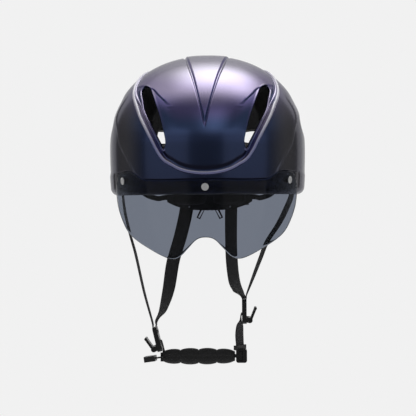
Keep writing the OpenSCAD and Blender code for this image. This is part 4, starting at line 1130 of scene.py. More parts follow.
@dataclass(frozen=True)
class LensShape:
    """Surface of the visor's lens: azimuth, height and distance out from its inner face."""

    skin: HelmetSkin = HelmetSkin()
    thick: float = 2
    magnet_gap: float = 1.4
    span: float = 64.2    # half of the azimuths that it covers
    lean: float = 0.0009  # share that its plan narrows by for each millimetre below 0
    end: float = 1.2      # degrees over which its ends are round
    crowded: float = 0.45  # how far the columns crowd towards its ends
    top: tuple = ((0, 12), (35, 12.4), (42, 19), (48, 21.6), (56, 21), (60.5, 16.5), (64.2, 6))
    low: tuple = ((0, -45.8), (4, -48), (8.5, -56.5), (13, -64.6), (17.5, -67.8), (23, -66), (34, -57.6),
                  (48, -46), (54, -38.5), (59.5, -27), (62.6, -18), (64.2, -12))

    def point(self, th: Array, z: Array, off: Array) -> Array:
        """Point of the lens."""
        s = self.skin.s_at(th, np.maximum(z, 0))
        p = self.skin.placed(th, s, off - self.skin.recess + self.magnet_gap)
        k = 1 + self.lean * np.minimum(z, 0)
        return np.stack([p[..., 0] * k, p[..., 1] * k, np.broadcast_to(z, k.shape)], -1)

    def heights(self, th: Array) -> tuple[Array, Array]:
        """Top and bottom of the lens at an azimuth. Its ends are round."""
        high, low = (curve(line, folded(th)) for line in (self.top, self.low))
        q = np.clip((folded(th) - self.span) / self.end + 1, 0, 1)
        half = (high - low) / 2 * np.maximum(1 - q**2.5, 1e-4)**0.4
        return (high + low) / 2 + half, (high + low) / 2 - half

    def build(self, cols: int = 320, rows: int = 36) -> Sheet:
        """Makes the lens as rings round its section, with edges rounded by half its thickness.

        Args:
            cols: Steps along the lens.
            rows: Steps from its top to its bottom.

        Returns:
            The closed sheet.
        """
        even = np.linspace(-1, 1, cols + 1)
        end = math.radians(87.3)
        th = self.span * lerp(even, np.sin(even * end) / math.sin(end), self.crowded)[:, None]
        high, low = self.heights(th)
        r = self.thick / 2
        inset = np.minimum(r, (high - low) / 2.2)
        high, low = high - inset, low + inset
        down = np.linspace(0, 1, rows + 1)
        turn = np.linspace(0, 180, 9)[1:-1]
        bend, side = inset * sind(turn), r * cosd(turn)
        z = np.concatenate([lerp(high, low, down), low - bend, lerp(low, high, down), high + bend], 1)
        off = np.concatenate([2 * r + 0 * down, r + side, 0 * down, r - side])
        return Sheet().tube(self.point(th + 0 * z, z, off)).outwards()


@dataclass(frozen=True)
class Band:
    """Webbing along given stations of x, y, z and the direction its width faces, in degrees."""

    route: Sequence[Sequence[float]]
    width: float = 16
    upright: bool = False  # whether its width stands upright, whatever the stations' directions
    thick: float = 1.4
    cuts: int = 14
    weave: float = 10  # millimetres of webbing for one unit of UV

    def build(self) -> Sheet:
        """Makes the band: a flat section with rounded edges, and UVs that run along and across it."""
        stations = smoothed(self.route, self.cuts)
        path, turn = stations[:, :3], stations[:, 3]
        ahead = unit(np.gradient(path, axis=0))
        flat = UP if self.upright else np.stack([cosd(turn), sind(turn), 0 * turn], -1)
        wide = unit(flat - ahead * (flat * ahead).sum(-1, keepdims=True))
        a = np.linspace(0, 360, 29)[:-1]
        x = self.width / 2 * power(cosd(a), 0.35)
        y = self.thick / 2 * power(sind(a), 0.5) * (1 + 0.12 * cosd(2 * a))
        length = np.append(0, np.cumsum(np.linalg.norm(np.diff(path, axis=0), axis=1)))
        uv = np.stack(np.broadcast_arrays(np.append(x, x[0]), length[:, None]), -1) / self.weave
        return Sheet().tube(swept(path, wide, np.cross(ahead, wide), x, y), uv).outwards()


@dataclass(frozen=True)
class Cushion:
    """Crowned pad: a closed form over two numbers, with a sewn channel round its edge.

    Place a runs along the pad and b across it, both from -1 to 1. The face stands out by thick times
    ((1 - |a|^power)(1 - |b|^power))^crown, and drops by seam over a groove that runs inset from the rim.
    """

    base: Callable[[Array, Array, Array], Array]  # point at along, across and height
    thick: float
    seam: float = 0.5
    inset: float = 0.14
    crown: float = 0.42
    quilts: int = 0        # sewn lines across the pad
    power: float = 4
    bulge: float = 0.12    # how far the back stands out, as a share of thick
    cols: int = 120
    rows: int = 36

    def rise(self, a: Array, b: Array) -> Array:
        """Height of the face over the pad's base, less the sewn channels.

        Args:
            a: Places along the pad, from -1 to 1.
            b: Places across it, from -1 to 1.

        Returns:
            The heights, in millimetres.
        """
        edge = np.maximum((1 - np.abs(a)**self.power) * (1 - np.abs(b)**self.power), 0)
        near = np.minimum((1 - np.abs(a)) * self.cols / self.rows, 1 - np.abs(b))
        lines = bump((near - self.inset) / 0.08)
        if self.quilts:
            parts = self.quilts + 1
            place = np.abs(np.mod((a + 1) * parts / 2 + 0.5, 1) - 0.5) / parts * 2
            inner = (near > self.inset) * (np.abs(a) < 1 - 0.5 / parts)
            lines = np.maximum(lines, bump(place / 0.03) * inner)
        return self.thick * edge**self.crown - self.seam * lines * ease(edge * 8)

    def build(self) -> Sheet:
        """Makes the pad: its face, its nearly flat back and the rim between them."""
        a, b = (sind(np.linspace(-90, 90, n + 1)) for n in (self.cols, self.rows))
        a, b = np.meshgrid(a, b, indexing="ij")
        sheet = Sheet()
        face = sheet.add(self.base(a, b, self.rise(a, b)))
        out = 1 - np.maximum(np.abs(a), np.abs(b))**8
        back = sheet.add(self.base(a, b, -self.bulge * self.thick * out))
        sheet.grid(face)
        sheet.grid(back[:, ::-1])
        sheet.bridge([np.concatenate([i[:-1, 0], i[-1, :-1], i[:0:-1, -1], i[0, :0:-1]])
                      for i in (face, back)])
        return sheet.outwards()


@dataclass(frozen=True)
class PadPlaces:
    """Comfort pads in the head room and on the cradle. All of them get narrower towards their ends."""

    room: HeadRoom = HeadRoom()
    pad_t: float = 5
    wall_off: float = -0.3    # the wall pads' place off the wall
    roof_off: float = -1.5    # the crown pad's place off the roof
    cradle_y: float = 97.4    # front of the cradle's plate
    cradle_thin: float = 1.2  # how much thinner the cradle's pads are

    def wall_pad(self, start: float, end: float, low: float, high: float) -> Cushion:
        """Pad on the upright wall between two azimuths and two heights."""
        def base(a: Array, b: Array, h: Array) -> Array:
            """Place along the wall, with a half height between 0.62 and 1 of the whole."""
            half = (high - low) / 2 * (0.62 + 0.38 * tapered(a))
            z = (low + high) / 2 + half * b
            return self.room.wall(lerp(start, end, (a + 1) / 2), z, self.wall_off - h)
        return Cushion(base, self.pad_t, quilts=3 if end - start > 60 else 0)

    def crown_pad(self) -> Cushion:
        """Pad across the top of the head room."""
        def base(a: Array, b: Array, h: Array) -> Array:
            """Place over the roof from front to rear, 9 to 16 mm to either side."""
            turn = lerp(62, 118, (a + 1) / 2)
            front = turn < 90
            p = self.room.point(np.where(front, 0, 180), np.where(front, turn, 180 - turn), self.roof_off - h)
            return np.stack([b * (9 + 7 * tapered(a)), p[..., 1], p[..., 2]], -1)
        return Cushion(base, self.pad_t, quilts=1)

    def cradle_pad(self, side: Side) -> Cushion:
        """Pad on one side of the cradle's plate."""
        def base(a: Array, b: Array, h: Array) -> Array:
            """Place on the plate, 4 to 42 mm out and 4 to 9 mm to either side of its middle."""
            return np.stack([side.value * (23 + 19 * a), self.cradle_y - h, (4 + 5 * tapered(a)) * b - 3], -1)
        return Cushion(base, self.pad_t - self.cradle_thin)


@dataclass(frozen=True)
class ChinPad:
    """Padded sleeve round the chin webbing, with lobes between sewn lines.

    At share u along it, its half height and half depth are (half + swell lobe) e, where lobe is
    |sin(180 u lobes)|^0.5 and e rounds off the ends. A seam dips along its middle, above and below.
    """

    middle: tuple = (-11.2, -9, -178)
    length: float = 79.4
    lobes: int = 4
    half: tuple = (6.9, 4.1)
    swell: tuple = (2.2, 1)
    seam: float = 0.5
    hole: tuple = (1, 5.3)  # half depth and half height of the way through

    def build(self) -> Sheet:
        """Makes the sleeve as rings along it, which turn in at both ends to the way through."""
        u = np.linspace(0, 1, 161)[:, None]
        a = np.linspace(0, 360, 65)[:-1]
        lobe = np.abs(sind(180 * u * self.lobes))**0.5
        e = sind(180 * (0.01 + 0.98 * u))**0.14
        high, deep = ((half + swell * lobe) * e for half, swell in zip(self.half, self.swell))
        x = self.middle[0] + self.length * (u - 0.5)
        y = self.middle[1] + (deep - self.seam * bump(sind(a) / 0.12)) * power(cosd(a), 0.8)
        z = self.middle[2] + high * power(sind(a), 0.8)
        inner_y = self.middle[1] + self.hole[0] * power(cosd(a), 0.5)
        inner_z = self.middle[2] + self.hole[1] * power(sind(a), 0.4)
        sheet = Sheet()
        outer, inner = (sheet.add(np.stack(np.broadcast_arrays(*face), -1))
                        for face in ((x, y, z), (x[::8], inner_y, inner_z)))
        sheet.grid(outer, looped=True)
        sheet.bridge([outer[-1], *inner[::-1], outer[0]])
        return sheet.outwards()


@dataclass(frozen=True)
class RingArm:
    """Flexible arm of the head ring, a thin strip on edge with a rolled rim along both edges."""

    room: HeadRoom = HeadRoom()
    height: float = 6
    thick: float = 1.2
    inset: float = -5
    stations: tuple = ((66, 14), (80, 11), (97, 5), (115, -1), (131, -4.5))  # azimuth and height on the wall
    rear: tuple = ((55, 93.4, -3.6), (51, 100.6, -3.1), (46, 101.2, -3))     # points on to the rack

    def build(self) -> Sheet:
        """Makes the wearer's left arm along a smooth curve through its stations."""
        wall = self.room.wall(*np.array(self.stations).T, self.inset)
        path = smoothed([*wall, *self.rear], 16)
        ahead = unit(np.gradient(path, axis=0))
        side = unit(np.cross(ahead, UP))
        a = np.linspace(0, 360, 37)[:-1]
        rim = 0.65 + 0.35 * ease((np.abs(sind(a)) - 0.72) / 0.12)
        x = self.thick / 2 * power(cosd(a), 0.4) * rim
        y = self.height / 2 * power(sind(a), 0.5)
        return Sheet().tube(swept(path, side, np.cross(side, ahead), x, y)).outwards()


@dataclass(frozen=True)
class VisorStuds:
    """Three turned metal studs through the lens: a flange, a groove and a dished face."""

    lens: LensShape = LensShape()
    spots: tuple = ((0, 5.6), (53.5, 12.9), (-53.5, 12.9))  # azimuth, height
    profile: tuple = (  # radius, distance out from the lens's inner face
        (1.7, -0.3), (1.7, 2), (3.4, 2), (3.75, 2.15), (3.8, 2.45), (3.6, 2.8), (3.2, 2.95), (2.8, 2.9),
        (2.5, 2.45), (2.3, 2.2), (2.1, 2.3), (1.9, 2.6), (1.3, 2.75), (0.7, 2.7))

    def build(self) -> Sheet:
        """Makes the studs as turned shapes square to the lens."""
        sheet = Sheet()
        r, h = np.array(self.profile).T[..., None]
        a = np.linspace(0, 360, 61)[:-1]
        for th, z in self.spots:
            n = self.lens.skin.normal(th, self.lens.skin.s_at(th, z))
            across = unit(np.cross(UP, n))
            x, y = ((r * part(a))[..., None] for part in (cosd, sind))
            sheet.tube(self.lens.point(th, z, 0) + x * across + y * np.cross(n, across) + h[..., None] * n)
        return sheet.outwards()


# Shader maths and materials

Number = Union[float, "Value"]


@dataclass
class Value:
    """A socket of a node tree that takes part in sums as a number or a vector does."""

    shader: "Shader"
    socket: Optional[bpy.types.NodeSocket]

    def maths(self, operation: str, *others: Number) -> "Value":
        """One Math node on this value and others."""
        return self.shader.maths(operation, self, *others)

    def __add__(self, other: Number) -> "Value":
        """Sum."""
        return self.maths("ADD", other)

    def __sub__(self, other: Number) -> "Value":
        """Difference."""
        return self.maths("SUBTRACT", other)

    def __rsub__(self, other: float) -> "Value":
        """Difference from a plain number."""
        return self.shader.maths("SUBTRACT", other, self)

    def __mul__(self, other: Number) -> "Value":
        """Product."""
        return self.maths("MULTIPLY", other)

    def __truediv__(self, other: Number) -> "Value":
        """Quotient."""
        return self.maths("DIVIDE", other)

    def __rtruediv__(self, other: float) -> "Value":
        """A plain number divided by this value."""
        return self.shader.maths("DIVIDE", other, self)

    __radd__, __rmul__ = __add__, __mul__

    def __abs__(self) -> "Value":
        """Size."""
        return self.maths("ABSOLUTE")

    def mapped(self, low: float, high: float, to_low: float = 0, to_high: float = 1) -> "Value":
        """Smooth run from to_low to to_high as this value goes from low to high."""
        inputs = {"Value": self, "From Min": low, "From Max": high, "To Min": to_low, "To Max": to_high}
        return self.shader.node("ShaderNodeMapRange", inputs, interpolation_type="SMOOTHSTEP")

    def around(self, middle: float, reach: float) -> "Value":
        """This noise, most of which lies between 0.3 and 0.7, as a run by reach to either side of middle."""
        return self.mapped(0.3, 0.7, middle - reach, middle + reach)

    def ramp(self, stops: Sequence[tuple[float, Colour]]) -> "Value":
        """Colour ramp, with its stops between 0 and 1."""
        return self.shader.node("ShaderNodeValToRGB", {0: self}, stops=stops)

    def part(self, axis: int) -> "Value":
        """One component of this vector."""
        return self.shader.node("ShaderNodeSeparateXYZ", {0: self}, output=axis)


class Shader:
    """A material or world under construction, with one method that makes any node."""

    def __init__(self, name: str, world: bool = False) -> None:
        """Starts an empty material, or an empty world."""
        self.owner = (bpy.data.worlds if world else bpy.data.materials).new(name)
        self.end = "ShaderNodeOutputWorld" if world else "ShaderNodeOutputMaterial"
        self.owner.use_nodes = True
        self.tree = self.owner.node_tree
        self.tree.nodes.clear()

    def link(self, value: Union[Number, Sequence[float]], socket: bpy.types.NodeSocket) -> None:
        """Feeds a socket with a value or with a constant."""
        if isinstance(value, Value):
            self.tree.links.new(value.socket, socket)
        else:
            socket.default_value = (*value, 1) if socket.type == "RGBA" else value

    def node(self, kind: str, inputs: Optional[dict] = None, output: Union[int, str] = 0,
             stops: Sequence[tuple[float, Colour]] = (), **settings: Union[str, bool]) -> Value:
        """Makes a node.

        Args:
            kind: Blender's name for the type of node.
            inputs: Values by the sockets' names or numbers.
            output: Name or number of the socket wanted.
            stops: Places and colours of a ramp.
            **settings: Attributes, which are set before the inputs.

        Returns:
            The node's output, if it has any.
        """
        node = self.tree.nodes.new(kind)
        for key, value in settings.items():
            setattr(node, key, value)
        if stops:
            node.color_ramp.interpolation = "EASE"
            for _ in stops[2:]:
                node.color_ramp.elements.new(0.5)
            for element, (place, colour) in zip(node.color_ramp.elements, stops):
                element.position, element.color = place, (*colour, 1)
        for key, value in (inputs or {}).items():
            self.link(value, node.inputs[key])
        return Value(self, node.outputs[output] if node.outputs else None)

    def maths(self, operation: str, *terms: Number) -> Value:
        """One Math node on values and numbers."""
        return self.node("ShaderNodeMath", dict(enumerate(terms)), operation=operation)

    def coordinates(self, kind: str = "Object") -> Value:
        """Texture coordinates: Object gives metres from the origin."""
        return self.node("ShaderNodeTexCoord", output=kind)

    def noise(self, scale: float, detail: float) -> Value:
        """Noise from 0 to 1."""
        inputs = {"Vector": self.coordinates(), "Scale": scale, "Detail": detail}
        return self.node("ShaderNodeTexNoise", inputs)

    def bump(self, height: Value, distance: float, strength: float) -> Value:
        """Normal of a surface raised by height times distance."""
        return self.node("ShaderNodeBump", {"Strength": strength, "Distance": distance, "Height": height})

    def mix(self, share: Number, a: Union[Value, Colour], b: Union[Value, Colour]) -> Value:
        """Mix of two colours."""
        return self.node("ShaderNodeMix", {0: share, 6: a, 7: b}, output=2, data_type="RGBA")

    def glow(self, colour: Colour, level: float = 1) -> Value:
        """Plain light."""
        return self.node("ShaderNodeEmission", {"Color": colour, "Strength": level})

    def either(self, share: Value, a: Value, b: Value) -> Value:
        """Mix of two shaders."""
        return self.node("ShaderNodeMixShader", {0: share, 1: a, 2: b})

    def rays(self, *kinds: str) -> Value:
        """1 for rays of any of the kinds named, and 0 for others."""
        first, *others = (self.node("ShaderNodeLightPath", output=f"Is {kind} Ray") for kind in kinds)
        for other in others:
            first = first.maths("MAXIMUM", other)
        return first

    def finish(self, inputs: dict[str, Union[Number, Colour]]) -> bpy.types.Material:
        """Ends the material with a Principled shader."""
        return self.surface(self.node("ShaderNodeBsdfPrincipled", inputs))

    def surface(self, value: Value) -> Union[bpy.types.Material, bpy.types.World]:
        """Ends the material or world with any shader."""
        self.node(self.end, {"Surface": value})
        return self.owner


@dataclass(frozen=True)
class ColourShiftWithPaintedLight:
    """Metallic paint under clear lacquer, whose colour shifts with how far the surface faces upwards: a
    blue-violet colour shift with painted light over it, near white where it faces up as if lit from above,
    darker where it faces down, and greyer at the sides.
    """

    name: str
    stops: tuple = (  # how far the surface faces up, from -1 to 1, and its colour there: the colour shift, with painted highlight towards the top and painted shade towards the bottom
        (-0.25, (0.022, 0.025, 0.055)), (0, (0.03, 0.044, 0.1)), (0.12, (0.04, 0.059, 0.138)),
        (0.32, (0.07, 0.11, 0.25)), (0.56, (0.14, 0.125, 0.3)), (0.74, (0.32, 0.28, 0.41)),
        (0.95, (0.55, 0.53, 0.59)))
    # colour of the pale strip on the bead and vent lips by how far it faces up: painted highlight, lighter
    # facing up
    trim_and_highlight: tuple = ((0.1, (0.27, 0.28, 0.52)), (0.6, (0.55, 0.55, 0.76)), (0.95, (0.85, 0.84, 0.88)))
    trim_highlight_top: Colour = (0.86, 0.84, 0.93)  # the strip where it runs high up the shell: a whiter painted highlight
    trim_highlight_rise: tuple = (0.045, 0.085)            # heights in metres between which it turns to that whiter painted highlight
    side: tuple = ((0.16, 0.157, 0.172), (0.42, 0.4, 0.48))  # the sides' grey, upright and facing up; the lighter grey facing up is painted light
    side_up: tuple = (0.1, 0.85)       # how far up a side faces between these two
    side_reach: tuple = (0.06, 0.088)  # metres from the middle between which the sides' grey sets in
    metallic: float = 0.8
    trim_metallic: float = 0.15
    roughness: float = 0.23
    uneven: float = 0.03     # what the flakes add to the roughness or take from it
    trim_dull: float = 0.1   # what the trim adds
    coat: float = 0.2
    rim: Colour = (0.2, 0.2, 0.24)  # tint of its gloss at grazing angles
    flake: float = 0.0004    # size of the flakes in metres

    def make(self) -> bpy.types.Material:
        """Makes the material."""
        sh = Shader(self.name)
        place, up = sh.coordinates(), sh.coordinates("Normal").part(2)
        low, high = self.stops[0][0], self.stops[-1][0]
        # colour by the normal's height: the colour shift plus painted light, lighter facing up and darker
        # facing down
        body = ((up - low) / (high - low)).ramp([((z - low) / (high - low), c) for z, c in self.stops])
        out = abs(place.part(0)).mapped(*self.side_reach)
        # greyer towards the sides, and lighter where they face up: painted light
        body = sh.mix(out, body, sh.mix(up.mapped(*self.side_up), *self.side))
        # pale strip on the bead and vent lips, lighter facing up and whiter high up: painted highlight
        pale = sh.mix(place.part(2).mapped(*self.trim_highlight_rise), up.ramp(self.trim_and_highlight), self.trim_highlight_top)
        trim_and_highlight = sh.node("ShaderNodeAttribute", output="Fac", attribute_name="trim_and_highlight")
        grain = sh.noise(1 / self.flake, 1).around(self.roughness, self.uneven)
        return sh.finish({
            "Base Color": sh.mix(trim_and_highlight, body, pale), "Specular Tint": self.rim,
            "Metallic": trim_and_highlight.mapped(0, 1, self.metallic, self.trim_metallic),
            "Roughness": grain + trim_and_highlight * self.trim_dull,
            "Coat Weight": self.coat, "Coat Roughness": 0.08, "Coat IOR": 1.4,
        })


@dataclass(frozen=True)
class SmokedLens:
    """Tinted clear plastic."""

    name: str
    colour: Colour = (0.178, 0.2, 0.248)
    ior: float = 1.22

    def make(self) -> bpy.types.Material:
        """Makes the material."""
        return Shader(self.name).finish({
            "Base Color": self.colour, "Roughness": 0, "IOR": self.ior, "Transmission Weight": 1})


@dataclass(frozen=True)
class Moulded:
    """Moulded plastic, rubber or metal with a fine grain and a slightly uneven gloss."""

    name: str
    colour: Colour
    roughness: float = 0.45
    metallic: float = 0
    grain: float = 0.00005  # height of the grain in metres
    scale: float = 1500
    cloud: float = 60       # scale of the uneven gloss
    uneven: float = 0.05    # what it adds to the roughness or takes from it

    def make(self) -> bpy.types.Material:
        """Makes the material."""
        sh = Shader(self.name)
        return sh.finish({
            "Base Color": self.colour, "Metallic": self.metallic,
            "Roughness": sh.noise(self.cloud, 2).around(self.roughness, self.uneven),
            "Normal": sh.bump(sh.noise(self.scale, 3), self.grain, 0.6),
        })


@dataclass(frozen=True)
class WovenWebbing:
    """Flat woven webbing: ribs across it and a herringbone of warp threads, from its UVs. Its colour is
    lighter on the raised ribs and darker between them: painted shade in the hollows of the weave.
    """

    name: str
    colour: Colour = (0.012, 0.012, 0.014)
    light: Colour = (0.03, 0.03, 0.034)
    ribs: float = 9      # ribs for one unit of UV
    threads: float = 12  # warp threads for one unit of UV
    height: float = 0.00018

    def make(self) -> bpy.types.Material:
        """Makes the material."""
        sh = Shader(self.name)
        at = sh.coordinates("UV")
        across, along = at.part(0), at.part(1)
        lean = abs((across * (self.threads / 2)).maths("FRACT") - 0.5)
        rib = (along * self.ribs + lean).maths("FRACT") - 0.5
        thread = (across * self.threads).maths("FRACT") - 0.5
        weave = (1 - abs(rib) * 2) * (1 - (thread * thread) * 2.5)
        return sh.finish({
            # lighter where the weave stands high, darker in its hollows: painted shade
            "Base Color": sh.mix(weave.mapped(0.1, 0.9), self.colour, self.light),
            "Roughness": 0.82, "Sheen Weight": 0.25, "Sheen Roughness": 0.5,
            "Normal": sh.bump(weave, self.height, 0.9),
        })


@dataclass(frozen=True)
class PadCloth:
    """Knitted cloth over foam, lighter on its raised cells and darker between them: painted shade."""

    name: str
    colour: Colour = (0.008, 0.008, 0.009)
    light: Colour = (0.017, 0.017, 0.019)
    scale: float = 900
    height: float = 0.00015

    def make(self) -> bpy.types.Material:
        """Makes the material."""
        sh = Shader(self.name)
        cells = sh.node("ShaderNodeTexVoronoi", {"Vector": sh.coordinates(), "Scale": self.scale})
        knit = cells.mapped(0, 0.6, 1, 0)
        return sh.finish({
            # darker between the raised cells: painted shade
            "Base Color": sh.mix(knit, self.colour, self.light), "Roughness": 0.9,
            "Sheen Weight": 0.35, "Sheen Roughness": 0.6, "Normal": sh.bump(knit, self.height, 0.8),
        })


@dataclass(frozen=True)
class BeadFoam:
    """Moulded bead foam: flattened cells with fine creases between them, darker in the creases: painted
    shade.
    """

    name: str
    colour: Colour = (0.02, 0.02, 0.022)
    light: Colour = (0.035, 0.035, 0.038)
    cell: float = 0.0035
    height: float = 0.0003

    def make(self) -> bpy.types.Material:
        """Makes the material."""
        sh = Shader(self.name)
        inputs = {"Vector": sh.coordinates(), "Scale": 1 / self.cell}
        edge = sh.node("ShaderNodeTexVoronoi", inputs, feature="DISTANCE_TO_EDGE").mapped(0, 0.12)
        return sh.finish({
            # darker in the creases between cells: painted shade
            "Base Color": sh.mix(edge, self.colour, self.light), "Roughness": 0.75,
            "Normal": sh.bump(edge, self.height, 0.7),
        })


# Studio

@dataclass(frozen=True)
class Card:
    """A glowing card that only lights and reflects, with soft edges. Lengths are in metres."""

    name: str
    middle: tuple
    across: tuple  # half of its width, as a vector
    up: tuple      # half of its height, as a vector
    level: float   # radiance at its middle
    soft: float    # share of its half size over which it fades

    def build(self) -> None:
        """Makes the card, which is clear to the camera and turns clear towards its edges."""
        v, u = np.meshgrid(np.linspace(-1, 1, 3), np.linspace(-1, 1, 3), indexing="ij")
        points = np.array(self.middle) + u[..., None] * self.across + v[..., None] * self.up
        sheet = Sheet()
        sheet.grid(sheet.add(points / MM), uv=np.stack([u, v], -1))
        sh = Shader(self.name)
        at = sh.coordinates("UV")
        fade_u, fade_v = (abs(at.part(axis)).mapped(1 - self.soft, 1, 1, 0) for axis in (0, 1))
        clear = sh.node("ShaderNodeBsdfTransparent")
        light = sh.either(fade_u * fade_v, clear, sh.glow((1, 1, 1), self.level))
        obj = sheet.piece(self.name, sh.surface(sh.either(sh.rays("Camera"), light, clear)))
        obj.visible_camera = obj.visible_transmission = obj.visible_shadow = False


@dataclass(frozen=True)
class Studio:
    """Camera, lights, pale floor and backdrop round the helmet, in metres."""

    distance: float = 1.6
    lens: float = 125.9
    turn: float = 1.2        # degrees that the camera stands round towards +X
    level: float = -0.016    # height of the camera
    roll: float = 0.45
    white: float = 0.88      # the floor's and backdrop's white
    world: float = 0.16      # light from all round
    floor_z: float = -0.55
    floor_y: tuple = (-0.35, 2.2)
    bend: float = 0.8        # radius between floor and backdrop
    wall_z: tuple = (1.6, 3)  # heights of the backdrop's last two rows over the floor
    half_width: float = 2.4
    cards: tuple = (
        Card("overhead", (0.2, 0.59, 1.35), (0.75, 0, 0), (0, 0.67, 0), 4, 0.8),
        Card("ceiling", (0, 0.85, 1.6), (2, 0, 0), (0, 1.2, 0), 1, 0.5),
        Card("fill", (0.2, -1.1, 1.27), (0.5, 0, 0), (0, 0.95, 0.7), 0.85, 0.95),
        Card("wing_0", (-2.4, -1.6, 0.5), (1.7, -0.9, 0), (0, 0, 1.3), 0.56, 0.1),
        Card("wing_2", (2.4, -1.6, 0.5), (1.7, 0.9, 0), (0, 0, 1.3), 0.56, 0.1),
    )

    def camera(self) -> None:
        """Makes the level camera in front of the helmet."""
        data = bpy.data.cameras.new("camera")
        data.sensor_width, data.lens = 36, self.lens
        data.clip_start, data.clip_end = 0.05, 40
        obj = bpy.data.objects.new("camera", data)
        a = math.radians(self.turn)
        obj.location = (self.distance * math.sin(a), -self.distance * math.cos(a), self.level)
        obj.rotation_euler = (math.radians(90), math.radians(self.roll), a)
        bpy.context.scene.collection.objects.link(obj)
        bpy.context.scene.camera = obj

    def sweep(self) -> None:
        """Makes the floor, which curves up into a backdrop, both plain white to camera, gloss and glass."""
        turn, end = np.linspace(8, 90, 12), self.floor_y[1]
        y = [np.linspace(*self.floor_y, 12), end + self.bend * sind(turn), [end + self.bend] * 2]
        z = [np.zeros(12), self.bend - self.bend * cosd(turn), self.wall_z]
        y, z = np.concatenate(y), np.concatenate(z) + self.floor_z
        x = np.linspace(-self.half_width, self.half_width, 9)
        sheet = Sheet()
        points = np.stack(np.broadcast_arrays(x, y[:, None], z[:, None]), -1) / MM
        sheet.grid(sheet.add(points)[:, ::-1])
        sh = Shader("floor_paper")
        white = (self.white,) * 3
        paper = sh.node("ShaderNodeBsdfDiffuse", {"Color": white})
        seen = sh.rays("Camera", "Glossy", "Transmission")
        sheet.piece("floor", sh.surface(sh.either(seen, paper, sh.glow(white))))

    def sky(self) -> None:
        """Makes the world: the backdrop's white for camera and glass rays, a plain level for the rest."""
        sh = Shader("studio", world=True)
        plain = sh.node("ShaderNodeBackground", {"Color": (1, 1, 1), "Strength": self.world})
        white = sh.node("ShaderNodeBackground", {"Color": (self.white,) * 3})
        bpy.context.scene.world = sh.surface(sh.either(sh.rays("Camera", "Transmission"), plain, white))

    def build(self) -> None:
        """Makes the whole studio."""
        self.camera()
        self.sweep()
        self.sky()
        for card in self.cards:
            card.build()


# Pieces of the helmet

STRAPS = {  # stations of x, y, z and the direction that the width faces
    "strap_front_right": ((-91.5, -26, 12, 90), (-91.5, -26, -2, 90), (-89.6, -25, -19.6, 88),
                          (-84.8, -23, -42, 88), (-78.5, -20, -66, 87), (-70.3, -14, -106, 88),
                          (-62.2, -9, -138, 90), (-60.9, -8.1, -145, 90)),
    "strap_front_left": ((91.5, -26, 12, 96), (91, -26, -2, 104), (84.8, -25, -18, 108),
                         (76.6, -23, -34, 107), (64, -20, -53.5, 104), (56.9, -17, -71, 102),
                         (48.8, -12, -92, 98), (43, -9, -107, 92), (41.5, -8.1, -111.5, 90),
                         (41.2, -8, -114.8, 90)),
    "strap_rear_right": ((-26.5, 113, 28, 0), (-26.4, 112.5, 10, 0), (-27.6, 109, -16, 0),
                         (-33.6, 88, -46, -8), (-41.3, 57, -76, -20), (-45.4, 28, -107, -34),
                         (-50.4, 8, -128, -62), (-55.4, -5, -137.5, -84), (-57, -7.8, -141.3, -90),
                         (-57.5, -8, -144.5, -90)),
    "strap_rear_left": ((26.5, 113, 28, 0), (26, 112.5, 10, 12), (25, 107, -20, 30), (24.8, 82, -52, 40),
                        (25.6, 56, -78, 43), (28.2, 32, -98, 48), (32.4, 9, -108.5, 64),
                        (35.8, -5, -113, 86), (37.2, -7.8, -116, 90), (37.7, -8, -118.6, 90)),
    "strap_lower_left": ((36.4, -8, -131, 90), (35.3, -8, -134, 90), (34.8, -8, -139, 84),
                         (34, -8.2, -145, 64), (33.4, -8.7, -155, 58), (34, -9, -167.6, 60)),
}


CHIN_WEBBING = ((-53, -9, -178.6, 90), (-30, -9, -178.6, 90), (0, -9, -178.6, 90), (28, -9, -178.6, 90))
CHIN_TAIL = ((-50.2, -15.3, -178.1, 82), (-53.9, -14.8, -178.6, 82), (-58.2, -14.2, -179.2, 82))
CHIN_LINK = ((-52.2, -8, -160.2, 90), (-50.7, -8, -165.2, 90), (-49.5, -8, -170, 90),
             (-49.1, -8.5, -172.9, 80))
CHIN_WIDTH = 10  # width of the chin strap's narrower webbing, in millimetres


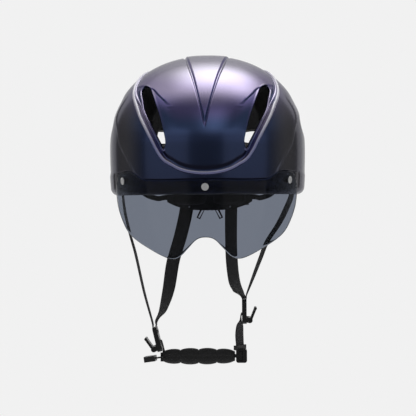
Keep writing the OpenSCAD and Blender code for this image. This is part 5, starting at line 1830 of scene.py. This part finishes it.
class Helmet:
    """The dressed helmet: every piece of the scene, with the CAD node that it stands for."""

    def __init__(self) -> None:
        """Makes the finishes, by the names of their slots."""
        finishes = (
            ColourShiftWithPaintedLight("crown_paint"), ColourShiftWithPaintedLight("side_paint"), BeadFoam("foam"),
            PadCloth("pad_cloth"), WovenWebbing("webbing"), SmokedLens("smoked_lens"),
            Moulded("bright_steel", (0.8, 0.8, 0.8), 0.35, 0.5, 0.00001),
            Moulded("gear_plastic", (0.014, 0.014, 0.015), 0.5),
            Moulded("knob_rubber", (0.012, 0.012, 0.013), 0.7),
            Moulded("black_plastic", (0.011, 0.011, 0.012), 0.38),
        )
        self.finish = {finish.name: finish.make() for finish in finishes}
        self.pieces: list[bpy.types.Object] = []

    def put(self, name: str, sheet: Sheet, slot: str, node: str, body: str = "helmet",
            over: Optional[tuple] = None) -> bpy.types.Object:
        """Places a piece in the stead of a CAD node.

        Args:
            name: The piece's name.
            sheet: Its surface.
            slot: The slot of its finish.
            node: The CAD node.
            body: The body that it rides on.
            over: For a piece that runs between two bodies, the second body, and where it leaves the first and
                joins that one; only whether it is given is read: such a piece is attached to no body, and its
                place is baked into its mesh.

        Returns:
            The piece.
        """
        obj = sheet.piece(name, self.finish[slot])
        if over is None:
            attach(obj, body)
        else:
            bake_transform(obj)
        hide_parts(node)
        self.pieces.append(obj)
        return obj

    def dress_nodes(self) -> None:
        """Gives every CAD node the finish of its slot."""
        for part in frame["record"]["subparts"]:
            node = frame["nodes"][part["node"]]
            node.data.materials.clear()
            node.data.materials.append(self.finish[part["material_slot"]])

    def build(self) -> None:
        """Makes every piece."""
        self.put("crown_panel", CrownShell().build(), "crown_paint", "crown_shell")
        self.put("lower_shell", SideShell().build(), "side_paint", "side_shell")
        self.put("foam_body", FoamLiner().build(), "foam", "foam_liner")
        self.put("lens", LensShape().build(), "smoked_lens", "visor_lens", "visor")
        self.put("studs", VisorStuds().build(), "bright_steel", "visor_studs", "visor")
        for name, route in STRAPS.items():
            self.put(name.replace("strap", "web"), Band(route).build(), "webbing", name)
        self.pads()
        self.ring_arms()
        self.chin_strap()

    def pads(self) -> None:
        """Makes the comfort pads."""
        places = PadPlaces()
        temple = places.wall_pad(76, 108, 19, 34).build()
        cradle = [places.cradle_pad(side).build() for side in Side]
        for name, sheet, node in (
                ("pad_brow", places.wall_pad(-42, 42, 10, 30).build(), "brow_pad"),
                ("pad_temple_left", temple, "temple_pad_left"),
                ("pad_temple_right", temple.flipped_x(), "temple_pad_right"),
                ("pad_crown", places.crown_pad().build(), "crown_pad"),
                ("pad_cradle", cradle[0].joined(cradle[1]), "cradle_pad")):
            self.put(name, sheet, "pad_cloth", node)

    def ring_arms(self) -> None:
        """Makes the head ring's arms, which run between the temples and the racks."""
        left = RingArm().build()
        for side, sheet in ((Side.LEFT, left), (Side.RIGHT, left.flipped_x())):
            name, x = side.name.lower(), side.value
            over = f"rack_slide_{name}", (x * 0.075, -0.02, 0.008), (x * 0.055, 0.095, -0.003)
            self.put(f"arm_{name}", sheet, "gear_plastic", f"ring_arm_{name}", over=over)

    def chin_strap(self) -> None:
        """Makes the chin pad, its webbing, the tail and the link to the right divider."""
        pad = self.put("pad_chin", ChinPad().build(), "pad_cloth", "chin_pad", "chin_strap")
        chin = Band(CHIN_WEBBING, CHIN_WIDTH, upright=True).build()
        self.put("web_chin", chin, "webbing", "chin_webbing", "chin_strap")
        self.put("web_tail", Band(CHIN_TAIL, CHIN_WIDTH).build(), "webbing", "strap_tail", "chin_strap")
        link = Band(CHIN_LINK, CHIN_WIDTH).build()
        over = "chin_strap", (-0.052, -0.008, -0.1602), (-0.0491, -0.0085, -0.1725)
        self.put("web_link_right", link, "webbing", "chin_link_right", over=over)


def main() -> None:
    """Builds the scene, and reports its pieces."""
    logging.basicConfig(level=logging.INFO, format="%(name)s: %(message)s")
    bpy.context.scene.view_settings.view_transform = "Standard"
    Studio().build()
    helmet = Helmet()
    helmet.dress_nodes()
    helmet.build()
    for obj in helmet.pieces:
        log.info("%s, %d faces, %s", obj.name, len(obj.data.polygons), obj.data.materials[0].name)


if __name__ == "__main__":
    main()
